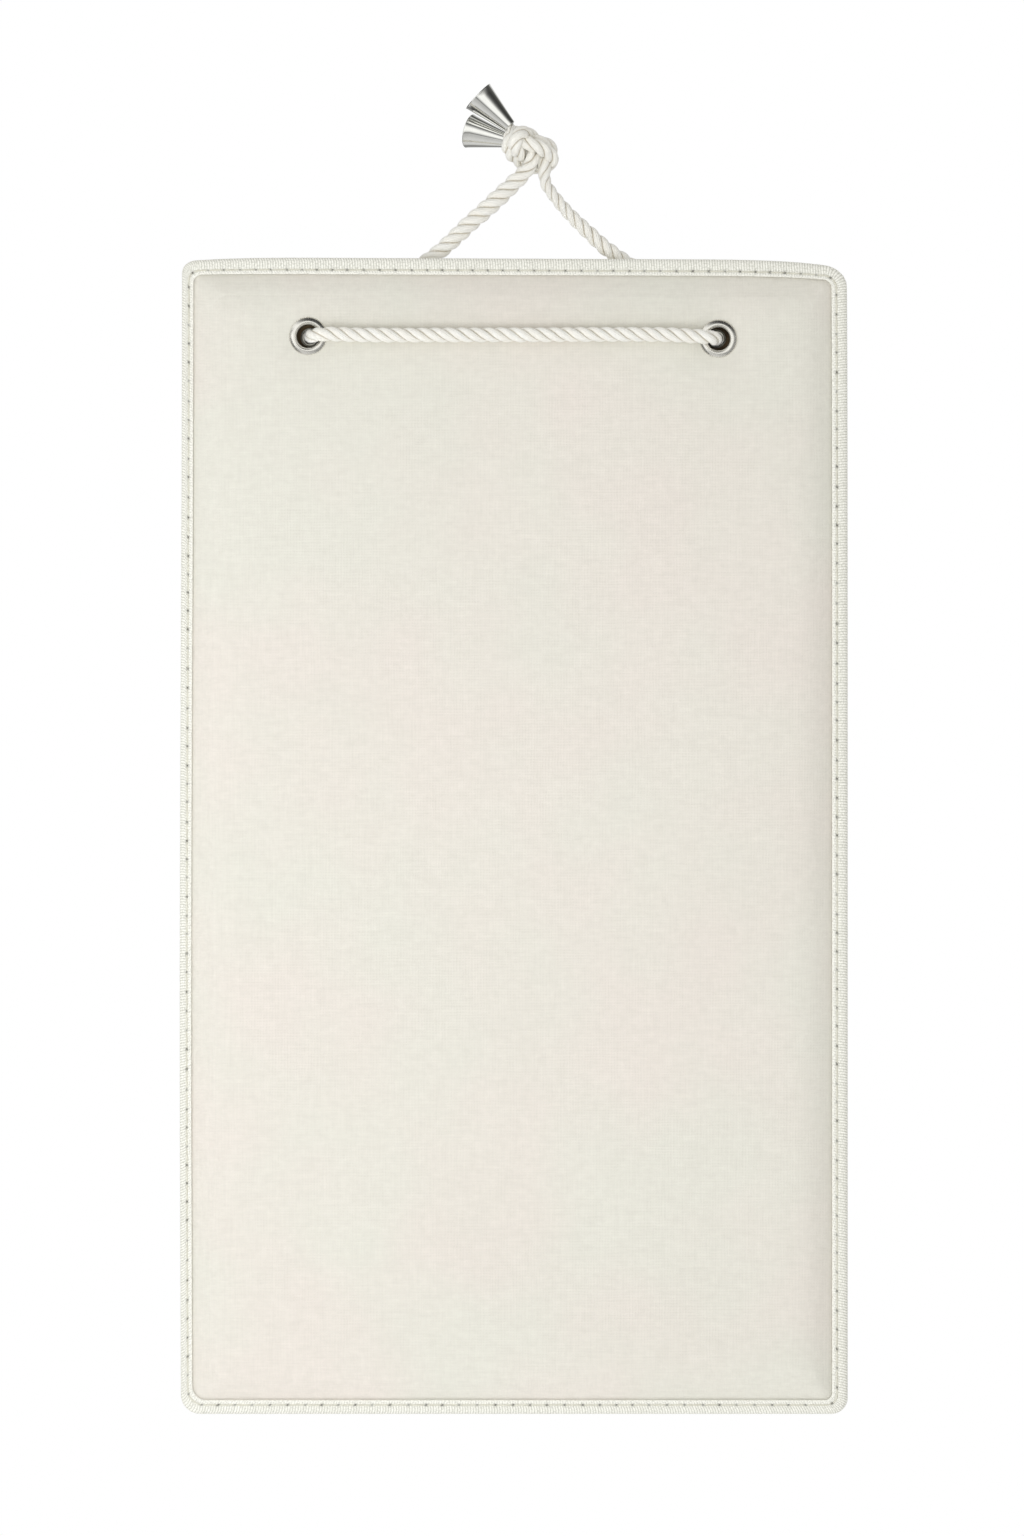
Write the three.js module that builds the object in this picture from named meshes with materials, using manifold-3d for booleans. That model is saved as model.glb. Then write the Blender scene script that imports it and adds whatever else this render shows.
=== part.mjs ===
// Hanging pin display board.
// A padded, cloth-covered upright board with a stitched grosgrain edge, two
// metal eyelets near the top, and one twisted cord that runs across the front
// between the eyelets, goes back through them, up behind the board, and is
// knotted above it into a hanging loop. Each cord end carries a conical tip.
//
// Millimetres. +Z up, +X to the right seen from the front, the face of the
// board looks along -Y. The origin is the underside of the loop's apex, where
// the nail or hook carries the board.

import * as THREE from 'three';
import { mergeVertices } from 'three/addons/utils/BufferGeometryUtils.js';
import Module from 'manifold-3d';

const wasm = await Module();
wasm.setup();

// ---------------------------------------------------------------- dimensions

// outline of the bound board
const BOARD_LEFT = -124.2;
const BOARD_RIGHT = 105.9;
const BOARD_TOP = -29.9;
const BOARD_BOTTOM = -429.0;
const CORNER_R = { tl: 4.6, tr: 8.0, br: 5.6, bl: 6.6 };
const CORNER_STEPS = 5;

// depths are measured forward from the outer face of the back cover
const Y_BACK = -4.4;
const CLOTH = 0.6;
const STIFFENER_D = [0.9, 2.9];
const FOAM_BASE_D = 3.2;
const FACE_D = 9.1;

// edge binding: how far the tape reaches in from the edge on each side
const TAPE_FRONT = { l: 4.0, r: 5.35, t: 5.7, b: 4.8 };
const TAPE_BACK = { l: 4.6, r: 4.6, t: 4.6, b: 4.6 };
const FLANGE_START = 0.9;
const SEAM_FRONT = { l: 2.4, r: 3.6, t: 4.1, b: 3.1 };
const SEAM_BACK = { l: 3.0, r: 3.0, t: 3.0, b: 3.0 };
const THREAD = 0.45;

// eyelets
const EYELET_LEFT = { x: -80.4, z: -56.9 };
const EYELET_RIGHT = { x: 61.2, z: -57.8 };
const BORE_R = 3.95;
const FLANGE_R = 6.65;
const CLEAR_HOLE_R = 4.7;        // face cloth and foam
const WASHER_ROOM = { r: 7.1, d: 4.8 };
const CORD_HOLE_R = 3.3;         // stiffener and back cloth
const DIMPLE_D = 8.0;
const EYELET_SEGMENTS = 24;

// cord
const CORD_R = 2.6;
const CORD_SIDES = 8;
const MEET = 0.3;
const FRONT_RUN_D = 12.4;
const MOUTH_Z = -57.35;          // height at which the cord leaves both eyelets at the back
const BEND_Z = -26.0;            // height at which the loop bends over the top edge
const LEFT_BEND_X = -33.6;
const RIGHT_BEND_X = 22.3;

// knot and tips; the tips' axes meet at KNOT_C
const KNOT_C = { x: -3.6, y: 0, z: 9.2 };
const KNOT_BODY = { x: -4.1, z: 9.3, long: 10.6, deep: 6.6, short: 7.3, tilt: 30 };
const TIP_LENGTH = 15.4;
const TIP_NARROW_R = 2.3;
const TIP_WIDE_R = 5.9;
const TIP_WALL = 0.45;
// rise: degrees above level. back: degrees away from the front. start: from
// the middle of the knot to the tip's narrow end.
const UPPER_TIP = { rise: 43.8, back: 3, start: 9.9 };
const LOWER_TIP = { rise: 15, back: 20, start: 8.0 };

// ------------------------------------------------------------------- helpers

const deg = (a) => (a * Math.PI) / 180;

function merged(geometry) {
  const g = geometry.clone();
  g.deleteAttribute('normal');
  if (g.getAttribute('uv')) g.deleteAttribute('uv');
  return mergeVertices(g, 1e-4);
}

function signedVolume(g) {
  const p = g.getAttribute('position');
  const ix = g.getIndex();
  let v = 0;
  const a = new THREE.Vector3();
  const b = new THREE.Vector3();
  const c = new THREE.Vector3();
  for (let i = 0; i < ix.count; i += 3) {
    a.fromBufferAttribute(p, ix.getX(i));
    b.fromBufferAttribute(p, ix.getX(i + 1));
    c.fromBufferAttribute(p, ix.getX(i + 2));
    v += a.dot(b.cross(c)) / 6;
  }
  return v;
}

function outward(g) {
  if (signedVolume(g) < 0) {
    const ix = g.getIndex();
    for (let i = 0; i < ix.count; i += 3) {
      const t = ix.getX(i);
      ix.setX(i, ix.getX(i + 1));
      ix.setX(i + 1, t);
    }
  }
  return g;
}

function solid(geometry) {
  const g = outward(merged(geometry));
  return new wasm.Manifold(new wasm.Mesh({
    numProp: 3,
    vertProperties: new Float32Array(g.getAttribute('position').array),
    triVerts: new Uint32Array(g.getIndex().array),
  }));
}

function geometryOf(manifold) {
  const m = manifold.getMesh();
  const g = new THREE.BufferGeometry();
  const n = m.vertProperties.length / m.numProp;
  const xyz = new Float32Array(n * 3);
  for (let i = 0; i < n; i += 1) {
    for (let k = 0; k < 3; k += 1) xyz[3 * i + k] = m.vertProperties[i * m.numProp + k];
  }
  g.setAttribute('position', new THREE.BufferAttribute(xyz, 3));
  g.setIndex(new THREE.BufferAttribute(new Uint32Array(m.triVerts), 1));
  g.computeVertexNormals();
  return g;
}

// Rounded outline of the board, moved in by a different amount on each side.
function outline(inset) {
  const x0 = BOARD_LEFT + inset.l;
  const x1 = BOARD_RIGHT - inset.r;
  const z0 = BOARD_BOTTOM + inset.b;
  const z1 = BOARD_TOP - inset.t;
  const radius = (r, a, b) => Math.max(r - (a + b) / 2, 0.8);
  const corners = [
    [x1, z0, radius(CORNER_R.br, inset.r, inset.b), -90, -1, 1],
    [x1, z1, radius(CORNER_R.tr, inset.r, inset.t), 0, -1, -1],
    [x0, z1, radius(CORNER_R.tl, inset.l, inset.t), 90, 1, -1],
    [x0, z0, radius(CORNER_R.bl, inset.l, inset.b), 180, 1, 1],
  ];
  const points = [];
  for (const [x, z, r, from, sx, sz] of corners) {
    const cx = x + sx * r;
    const cz = z + sz * r;
    for (let i = 0; i <= CORNER_STEPS; i += 1) {
      const a = deg(from + (90 * i) / CORNER_STEPS);
      points.push([cx + r * Math.cos(a), cz + r * Math.sin(a)]);
    }
  }
  return points;
}

const even = (v) => ({ l: v, r: v, t: v, b: v });
const plus = (s, v) => ({ l: s.l + v, r: s.r + v, t: s.t + v, b: s.b + v });

// Skins a stack of outlines, each at its own depth. Capped at both ends, or
// joined last to first when the section closes on itself.
function stack(levels, closed = false) {
  const rings = levels.map(([inset, d]) => outline(inset).map(([x, z]) => [x, Y_BACK - d, z]));
  const n = rings[0].length;
  const xyz = rings.flat(2);
  const tris = [];
  const spans = closed ? rings.length : rings.length - 1;
  for (let k = 0; k < spans; k += 1) {
    const a = k * n;
    const b = ((k + 1) % rings.length) * n;
    for (let i = 0; i < n; i += 1) {
      const j = (i + 1) % n;
      tris.push(a + i, b + i, b + j, a + i, b + j, a + j);
    }
  }
  if (!closed) {
    for (const [base, flip] of [[0, false], [(rings.length - 1) * n, true]]) {
      const flat = rings[base / n].map(([x, , z]) => new THREE.Vector2(x, z));
      for (const [a, b, c] of THREE.ShapeUtils.triangulateShape(flat, [])) {
        if (flip) tris.push(base + a, base + c, base + b);
        else tris.push(base + a, base + b, base + c);
      }
    }
  }
  const g = new THREE.BufferGeometry();
  g.setAttribute('position', new THREE.BufferAttribute(new Float32Array(xyz), 3));
  g.setIndex(new THREE.BufferAttribute(new Uint32Array(tris), 1));
  return outward(g);
}

// A body turned about the axis of an eyelet, from (radius, depth) points.
function turnedAt(eyelet, profile, segments = EYELET_SEGMENTS) {
  const points = profile.map(([r, d]) => new THREE.Vector2(r, Y_BACK - d));
  const g = new THREE.LatheGeometry(points, segments);
  g.translate(eyelet.x, 0, eyelet.z);
  return g;
}

const rod = (eyelet, r, d0, d1) => turnedAt(eyelet, [[0, d0], [r, d0], [r, d1], [0, d1]]);

function tube(points, radius, steps, sides = CORD_SIDES) {
  const curve = new THREE.CatmullRomCurve3(
    points.map((p) => new THREE.Vector3(...p)), false, 'centripetal');
  const section = new THREE.Shape();
  for (let i = 0; i < sides; i += 1) {
    const a = (2 * Math.PI * i) / sides;
    const x = radius * Math.cos(a);
    const y = radius * Math.sin(a);
    if (i === 0) section.moveTo(x, y);
    else section.lineTo(x, y);
  }
  section.closePath();
  return new THREE.ExtrudeGeometry(section, {
    extrudePath: curve, steps, bevelEnabled: false, curveSegments: 1,
  });
}

function ball(radius, at, detail = 2) {
  const g = new THREE.IcosahedronGeometry(radius, detail);
  g.translate(...at);
  return g;
}

const part = new THREE.Group();

function add(name, geometry, color, roughness, metalness = 0) {
  const g = outward(merged(geometry));
  g.computeVertexNormals();
  const mesh = new THREE.Mesh(g, new THREE.MeshStandardMaterial({ color, roughness, metalness }));
  mesh.name = name;
  part.add(mesh);
  return mesh;
}

const CANVAS = 0xe4e2d7;
const LINING = 0xdedbd0;
const TAPE = 0xe1e0d3;
const CORD = 0xf2eee0;
const NICKEL = 0xc6c5c0;

// --------------------------------------------------------------- the board

const eyelets = [EYELET_LEFT, EYELET_RIGHT];

// The face is pressed down round each eyelet; sink is how far below the face
// cloth's outer side this layer lies.
function withoutDimples(body, sink) {
  let out = body;
  for (const e of eyelets) {
    const cut = turnedAt(e, [
      [0, DIMPLE_D - sink], [6.9 + sink * 0.4, DIMPLE_D - sink],
      [9.2 + sink * 0.3, DIMPLE_D + 0.32 - sink], [12.2, DIMPLE_D + 0.9 - sink],
      [15.0, FACE_D + 0.15 - sink], [15.0, FACE_D + 3], [0, FACE_D + 3],
    ], 20);
    out = out.subtract(solid(cut));
  }
  return out;
}

function withHoles(body, d0, d1) {
  let out = body;
  for (const e of eyelets) out = out.subtract(solid(rod(e, CLEAR_HOLE_R, d0, d1)));
  return out;
}

// Holes just wide enough for the cord, in line with its run through them.
function withCordHoles(body, d0, d1) {
  let out = body;
  for (const [e, s] of [[EYELET_LEFT, 1], [EYELET_RIGHT, -1]]) {
    const at = { x: e.x + s * 0.6, z: (e.z + MOUTH_Z) / 2 };
    out = out.subtract(solid(rod(at, CORD_HOLE_R, d0, d1)));
  }
  return out;
}

// face cloth: a dished skin with a flat flange under the tape
const faceOuter = solid(stack([
  [even(FLANGE_START), 3.15], [even(FLANGE_START), 3.75],
  [plus(TAPE_FRONT, 0.3), 3.75], [plus(TAPE_FRONT, 0.8), 3.95], [plus(TAPE_FRONT, 1.5), 4.8],
  [plus(TAPE_FRONT, 2.4), 6.0], [plus(TAPE_FRONT, 3.7), 7.2], [plus(TAPE_FRONT, 5.6), 8.2],
  [plus(TAPE_FRONT, 8.2), 8.85], [plus(TAPE_FRONT, 11.6), FACE_D],
]));
const faceInner = solid(stack([
  [plus(TAPE_FRONT, 1.35), 2.9], [plus(TAPE_FRONT, 1.45), 3.35], [plus(TAPE_FRONT, 2.05), 4.3],
  [plus(TAPE_FRONT, 2.9), 5.45], [plus(TAPE_FRONT, 4.1), 6.6], [plus(TAPE_FRONT, 5.9), 7.6],
  [plus(TAPE_FRONT, 8.4), 8.25], [plus(TAPE_FRONT, 11.7), FACE_D - CLOTH],
]));
const faceCover = withHoles(
  withoutDimples(faceOuter, 0).subtract(withoutDimples(faceInner, CLOTH)), 2, 11);
add('front_cover', geometryOf(faceCover), CANVAS, 0.9);

// foam: crowned at its edges under the face cloth
let foam = withHoles(withoutDimples(solid(stack([
  [plus(TAPE_FRONT, 3.0), FOAM_BASE_D], [plus(TAPE_FRONT, 3.2), 4.8], [plus(TAPE_FRONT, 4.5), 6.15],
  [plus(TAPE_FRONT, 6.3), 7.2], [plus(TAPE_FRONT, 8.8), 7.9], [plus(TAPE_FRONT, 12.0), FACE_D - CLOTH - MEET],
])), CLOTH + MEET), 2, 11);
for (const e of eyelets) foam = foam.subtract(solid(rod(e, WASHER_ROOM.r, 2, WASHER_ROOM.d)));
add('foam_pad', geometryOf(foam), 0xf3efe2, 0.95);

// stiff board behind the foam
const stiff = withCordHoles(solid(stack([
  [even(10.8), STIFFENER_D[0]], [even(10.8), STIFFENER_D[1]],
])), 0, 4);
add('stiffener_board', geometryOf(stiff), 0xb59a72, 0.85);

// back cloth
const backOuter = solid(stack([
  [even(FLANGE_START), 2.85], [even(FLANGE_START), 2.25],
  [plus(TAPE_BACK, 0.4), 2.25], [plus(TAPE_BACK, 1.6), 1.45], [plus(TAPE_BACK, 2.9), 0.5],
  [plus(TAPE_BACK, 4.0), 0.08], [plus(TAPE_BACK, 5.2), 0],
]));
const backInner = solid(stack([
  [plus(TAPE_BACK, 0.9), 3.1], [plus(TAPE_BACK, 1.0), 2.75], [plus(TAPE_BACK, 2.0), 2.05],
  [plus(TAPE_BACK, 3.2), 1.1], [plus(TAPE_BACK, 4.2), 0.68], [plus(TAPE_BACK, 5.3), CLOTH],
]));
add('back_cover', geometryOf(withCordHoles(backOuter.subtract(backInner), -1, 2)), LINING, 0.9);

// grosgrain tape folded round the edge
add('edge_binding', stack([
  [TAPE_FRONT, 4.55], [even(1.2), 4.6], [even(0.5), 4.35], [even(0.12), 3.8], [even(0), 3.0],
  [even(0.12), 2.2], [even(0.5), 1.65], [even(1.2), 1.4], [TAPE_BACK, 1.45],
  [TAPE_BACK, 1.95], [even(1.3), 1.95], [even(0.75), 2.2], [even(0.6), 3.0],
  [even(0.75), 3.8], [even(1.3), 4.05], [TAPE_FRONT, 4.05],
], true), TAPE, 0.85);

// the two threads of the lockstitch seam, one on each side of the edge
function threadRing(seam, d0, d1) {
  return stack([
    [plus(seam, -THREAD / 2), d0], [plus(seam, -THREAD / 2), d1],
    [plus(seam, THREAD / 2), d1], [plus(seam, THREAD / 2), d0],
  ], true);
}
add('needle_thread', threadRing(SEAM_FRONT, 4.87, 4.87 + THREAD), 0xcfcbbb, 0.7);
add('bobbin_thread', threadRing(SEAM_BACK, 1.15 - THREAD, 1.15), 0xcfcbbb, 0.7);

// eyelets: a rolled flange in front, a short barrel through face cloth and
// foam, its end curled over a washer that sits in the foam's back
for (const [side, e] of [['left', EYELET_LEFT], ['right', EYELET_RIGHT]]) {
  add(`${side}_eyelet`, turnedAt(e, [
    [BORE_R, 3.62], [BORE_R, 8.85], [4.08, 9.2], [4.45, 9.42], [5.0, 9.5], [5.6, 9.4],
    [6.2, 9.05], [6.58, 8.62], [FLANGE_R, 8.3], [6.35, 8.3], [6.15, 8.55], [5.5, 8.78],
    [4.6, 8.78], [4.3, 8.45], [4.3, 3.92], [4.45, 3.75], [5.05, 3.75], [5.12, 3.6],
    [4.9, 3.42], [4.3, 3.37], [BORE_R, 3.62],
  ]), NICKEL, 0.25, 1);
  add(`${side}_washer`, turnedAt(e, [
    [4.65, 4.44], [6.5, 4.44], [6.75, 4.32], [6.7, 4.1], [6.3, 4.02], [4.65, 4.06], [4.65, 4.44],
  ]), NICKEL, 0.3, 1);
}

// --------------------------------------------------------------- the cord

// front run: out of one eyelet, across the face, into the other
const out = (e, s) => [
  [e.x + s * 0.4, -CORD_R - MEET, MOUTH_Z],
  [e.x + s * 0.8, Y_BACK - 3.5, e.z],
  [e.x + s * 0.95, Y_BACK - 7.2, e.z],
  [e.x + s * 1.15, Y_BACK - 9.7, e.z + 0.1],
  [e.x + s * 2.1, Y_BACK - 11.3, e.z + 0.3],
  [e.x + s * 3.7, Y_BACK - 12.3, e.z + 0.5],
  [e.x + s * 6.2, Y_BACK - 12.55, e.z + 0.7],
];
const FRONT_RUN_Z = -56.5;
add('front_cord_run', tube([
  ...out(EYELET_LEFT, 1),
  [EYELET_LEFT.x + 16, Y_BACK - FRONT_RUN_D, FRONT_RUN_Z],
  [-9.6, Y_BACK - FRONT_RUN_D, FRONT_RUN_Z],
  [EYELET_RIGHT.x - 16, Y_BACK - FRONT_RUN_D, FRONT_RUN_Z],
  ...out(EYELET_RIGHT, -1).reverse(),
], CORD_R, 38), CORD, 0.6);

// runs behind the board, from each eyelet up to the bend over the top edge
const leftLower = [
  [EYELET_LEFT.x, 0, MOUTH_Z], [-70.0, 0, -49.6], [-56.0, 0, -40.6],
  [-43.5, 0, -33.2], [LEFT_BEND_X, 0, BEND_Z],
];
const rightLower = [
  [EYELET_RIGHT.x, 0, MOUTH_Z], [52.2, 0, -46.6], [41.5, 0, -37.9],
  [31.4, 0, -32.2], [RIGHT_BEND_X, 0, BEND_Z],
];
for (const [name, path] of [['left_lower_leg', leftLower], ['right_lower_leg', rightLower]]) {
  const body = solid(tube(path, CORD_R, 8))
    .add(solid(ball(CORD_R, path[0])))
    .add(solid(ball(CORD_R, path[path.length - 1])));
  add(name, geometryOf(body), CORD, 0.6);
}

// the knot, as its outer shape
function knotShape(grow) {
  const g = new THREE.SphereGeometry(1, 20, 12);
  g.scale(KNOT_BODY.long + grow, KNOT_BODY.deep + grow, KNOT_BODY.short + grow);
  g.rotateY(deg(KNOT_BODY.tilt));
  g.translate(KNOT_BODY.x, 0, KNOT_BODY.z);
  return g;
}
const KNOT = new THREE.Vector3(KNOT_C.x, KNOT_C.y, KNOT_C.z);
function along({ rise, back }) {
  return new THREE.Vector3(
    -Math.cos(deg(rise)) * Math.cos(deg(back)), Math.sin(deg(back)),
    Math.sin(deg(rise)) * Math.cos(deg(back)));
}
function turnedAlong(tip, profile, segments) {
  const g = new THREE.LatheGeometry(profile.map(([r, s]) => new THREE.Vector2(r, s)), segments);
  g.applyQuaternion(new THREE.Quaternion().setFromUnitVectors(new THREE.Vector3(0, 1, 0), along(tip)));
  g.translate(KNOT.x, KNOT.y, KNOT.z);
  return g;
}
const flare = (TIP_WIDE_R - TIP_NARROW_R) / TIP_LENGTH;
// room in the knot for the narrow ends of the tips
const socket = (tip, grow) => solid(turnedAlong(tip, [
  [0, tip.start - grow], [TIP_NARROW_R + grow, tip.start - grow],
  [TIP_NARROW_R + grow + flare * 6, tip.start + 6], [0, tip.start + 6],
], 20));
const withSockets = (body, grow) => body
  .subtract(socket(UPPER_TIP, grow)).subtract(socket(LOWER_TIP, grow));
const knotClear = withSockets(solid(knotShape(MEET)), 0.02);
add('hanger_knot', geometryOf(withSockets(solid(knotShape(0)), MEET)), CORD, 0.6);

// runs above the board, from the bend up into the knot
function upperLeg(path) {
  const [a, b] = [new THREE.Vector3(...path[0]), new THREE.Vector3(...path[1])];
  const start = a.clone().add(b.clone().sub(a).normalize().multiplyScalar(CORD_R + MEET));
  const points = [[start.x, start.y, start.z], ...path.slice(1)];
  return geometryOf(solid(tube(points, CORD_R, 7)).subtract(knotClear));
}
add('left_upper_leg', upperLeg([
  [LEFT_BEND_X, 0, BEND_Z], [-24.4, 0, -17.3], [-13.3, 0, -7.4], [-4.6, 0, 0.8], [-1.6, 0, 3.6],
]), CORD, 0.6);
add('right_upper_leg', upperLeg([
  [RIGHT_BEND_X, 0, BEND_Z], [14.8, 0, -18.9], [8.0, 0, -11.2], [2.8, 0, -4.2], [0.5, 0, 0.8],
]), CORD, 0.6);

// cord ends, each gripped in a conical tip and knotted inside it
for (const [side, tip] of [['upper', UPPER_TIP], ['lower', LOWER_TIP]]) {
  const a = tip.start;
  const end = a + TIP_LENGTH;
  add(`${side}_tip`, turnedAlong(tip, [
    [TIP_NARROW_R - TIP_WALL, a], [TIP_NARROW_R, a + 0.15], [TIP_NARROW_R + flare * 8, a + 8],
    [TIP_WIDE_R, end - 0.25], [TIP_WIDE_R - 0.1, end], [TIP_WIDE_R - TIP_WALL, end],
    [TIP_NARROW_R - TIP_WALL + flare * 8, a + 8], [TIP_NARROW_R - TIP_WALL, a],
  ], 28), NICKEL, 0.12, 1);
  const tail = solid(turnedAlong(tip, [
    [0, 5.5], [1.45, 5.5], [1.45, a + 7.2], [2.6, a + 8.2], [3.3, a + 9.8], [3.4, a + 11.2],
    [2.9, a + 12.8], [1.6, a + 13.8], [0, a + 14.2],
  ], 14)).subtract(knotClear);
  add(`${side}_tail`, geometryOf(tail), CORD, 0.6);
}

export default part;
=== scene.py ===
import math
import bpy
import numpy as np
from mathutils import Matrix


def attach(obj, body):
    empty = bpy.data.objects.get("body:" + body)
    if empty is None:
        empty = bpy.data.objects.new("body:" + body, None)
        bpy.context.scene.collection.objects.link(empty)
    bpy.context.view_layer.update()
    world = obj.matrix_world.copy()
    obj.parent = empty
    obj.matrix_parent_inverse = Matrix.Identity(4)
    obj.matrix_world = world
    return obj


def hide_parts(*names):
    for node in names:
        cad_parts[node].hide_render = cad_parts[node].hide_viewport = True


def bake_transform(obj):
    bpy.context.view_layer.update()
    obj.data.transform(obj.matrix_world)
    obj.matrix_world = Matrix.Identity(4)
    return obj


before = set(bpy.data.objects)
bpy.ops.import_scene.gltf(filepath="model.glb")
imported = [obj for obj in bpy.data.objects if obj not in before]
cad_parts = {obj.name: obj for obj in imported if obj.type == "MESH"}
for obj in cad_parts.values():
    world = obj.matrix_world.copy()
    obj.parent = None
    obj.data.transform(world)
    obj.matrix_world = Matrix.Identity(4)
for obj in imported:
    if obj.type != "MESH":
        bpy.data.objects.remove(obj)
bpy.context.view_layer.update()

scene = bpy.context.scene
rng = np.random.default_rng(7)

# Millimetres below, metres in the meshes.
MM = 0.001

# ------------------------------------------------------------ driving sizes
BOARD_LEFT, BOARD_RIGHT = -124.2, 105.9
BOARD_TOP, BOARD_BOTTOM = -29.9, -429.0
CORNER_R = {"tl": 5.2, "tr": 8.0, "br": 5.6, "bl": 6.6}
Y_BACK = -4.4
TAPE_FRONT = {"l": 4.0, "r": 5.35, "t": 5.7, "b": 4.8}
TAPE_BACK = {"l": 4.6, "r": 4.6, "t": 4.6, "b": 4.6}
SEAM_FRONT = {"l": 2.4, "r": 3.6, "t": 4.1, "b": 3.1}
SEAM_BACK = {"l": 3.0, "r": 3.0, "t": 3.0, "b": 3.0}
RIB = 0.95                      # pitch of the tape's ribs
EYELETS = {"left": (-80.4, -56.9), "right": (61.2, -57.8)}
CORD_R = 2.6
CORD_PITCH = 13.6               # one turn of a strand
MOUTH_Z = -57.35
BEND_Z = -26.0
KNOT_C = np.array([-3.6, 0.0, 9.2])
TIP_LENGTH = 15.4
TIP_R = (2.3, 5.9)
HOLE_AT = {"left": (-79.85, -57.25), "right": (60.65, -57.45)}   # where the cord goes through the back cloth
HOLE_R = 2.5


def along(rise, back):
    r, b = math.radians(rise), math.radians(back)
    return np.array([-math.cos(r) * math.cos(b), math.sin(b), math.sin(r) * math.cos(b)])


TIP_AXIS = {"upper": along(43.8, 3), "lower": along(15, 20)}
TIP_START = {"upper": 9.9, "lower": 8.0}

# ------------------------------------------------------------------- camera
cam_data = bpy.data.cameras.new("camera")
cam = bpy.data.objects.new("camera", cam_data)
scene.collection.objects.link(cam)
scene.camera = cam
DISTANCE = 5.0
cam_data.type = "PERSP"
cam_data.sensor_width = 36.0
cam_data.lens = 36.0 * DISTANCE / 0.5305
cam_data.clip_start, cam_data.clip_end = 0.05, 60
cam.location = (-0.01002, -DISTANCE - 0.009, -0.2059)
cam.rotation_euler = (math.radians(90), 0, 0)


# ------------------------------------------------------------- mesh helpers
def mesh_object(name, verts, faces, uv=None, smooth=True, attributes=None):
    """A mesh from points in mm. uv holds one pair for each corner of each face."""
    verts = np.asarray(verts, float) * MM
    me = bpy.data.meshes.new(name)
    me.from_pydata(verts.tolist(), [], [list(map(int, f)) for f in faces])
    if uv is not None:
        layer = me.uv_layers.new(name="UVMap")
        layer.data.foreach_set("uv", np.asarray(uv, np.float32).ravel())
    for key, values in (attributes or {}).items():
        a = me.attributes.new(key, "FLOAT", "POINT")
        a.data.foreach_set("value", np.asarray(values, np.float32))
    me.validate()
    me.update()
    if smooth:
        me.polygons.foreach_set("use_smooth", np.ones(len(me.polygons), bool))
    o = bpy.data.objects.new(name, me)
    scene.collection.objects.link(o)
    return o


def volume(verts, faces):
    v = np.asarray(verts, float)
    total = 0.0
    for f in faces:
        a = v[f[0]]
        for i in range(1, len(f) - 1):
            total += np.dot(a, np.cross(v[f[i]], v[f[i + 1]]))
    return total / 6


def spline(points, knots, at):
    """Smooth monotone curve through (knots, points), read at the places asked for."""
    x, y, q = np.asarray(knots, float), np.asarray(points, float), np.asarray(at, float)
    h = np.diff(x)
    s = np.diff(y) / h
    m = np.zeros_like(y)
    m[1:-1] = np.where(s[:-1] * s[1:] > 0, 2 * s[:-1] * s[1:] / np.where(s[:-1] + s[1:] == 0, 1, s[:-1] + s[1:]), 0)
    m[0], m[-1] = s[0], s[-1]
    i = np.clip(np.searchsorted(x, q) - 1, 0, len(h) - 1)
    t = np.clip((q - x[i]) / h[i], 0, 1)
    return ((2 * t**3 - 3 * t**2 + 1) * y[i] + (t**3 - 2 * t**2 + t) * h[i] * m[i]
            + (-2 * t**3 + 3 * t**2) * y[i + 1] + (t**3 - t**2) * h[i] * m[i + 1])


def catmull(points, step):
    p = np.asarray(points, float)
    p = np.vstack([2 * p[0] - p[1], p, 2 * p[-1] - p[-2]])
    out = []
    for i in range(1, len(p) - 2):
        p0, p1, p2, p3 = p[i - 1:i + 3]
        # centripetal spacing keeps the curve from looping
        t0 = 0.0
        t1 = t0 + max(np.linalg.norm(p1 - p0), 1e-6) ** 0.5
        t2 = t1 + max(np.linalg.norm(p2 - p1), 1e-6) ** 0.5
        t3 = t2 + max(np.linalg.norm(p3 - p2), 1e-6) ** 0.5
        t = np.linspace(t1, t2, 16, endpoint=False)[:, None]
        a1 = (t1 - t) / (t1 - t0) * p0 + (t - t0) / (t1 - t0) * p1
        a2 = (t2 - t) / (t2 - t1) * p1 + (t - t1) / (t2 - t1) * p2
        a3 = (t3 - t) / (t3 - t2) * p2 + (t - t2) / (t3 - t2) * p3
        b1 = (t2 - t) / (t2 - t0) * a1 + (t - t0) / (t2 - t0) * a2
        b2 = (t3 - t) / (t3 - t1) * a2 + (t - t1) / (t3 - t1) * a3
        out.append((t2 - t) / (t2 - t1) * b1 + (t - t1) / (t2 - t1) * b2)
    out = np.vstack(out + [p[-2][None]])
    return evenly(out, step)


def evenly(line, step):
    d = np.r_[0, np.cumsum(np.linalg.norm(np.diff(line, axis=0), axis=1))]
    n = max(2, int(round(d[-1] / step)) + 1)
    t = np.linspace(0, d[-1], n)
    return np.stack([np.interp(t, d, line[:, k]) for k in range(3)], 1)


def smoothed(line, rounds):
    out = line.copy()
    for _ in range(rounds):
        out[1:-1] = out[1:-1] * 0.5 + (out[:-2] + out[2:]) * 0.25
    return out


def wander(s, period, seed, octaves=2):
    """Slow even noise along s, about -1 to 1."""
    r = np.random.default_rng(seed)
    s = np.asarray(s, float)
    out = np.zeros_like(s)
    for k in range(octaves):
        p = period / 2**k
        table = r.uniform(-1, 1, 4096)
        x = s / p
        i = np.floor(x).astype(int)
        f = x - i
        f = f * f * (3 - 2 * f)
        out += (table[i % 4096] * (1 - f) + table[(i + 1) % 4096] * f) / 2**k
    return out / 1.5


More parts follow.
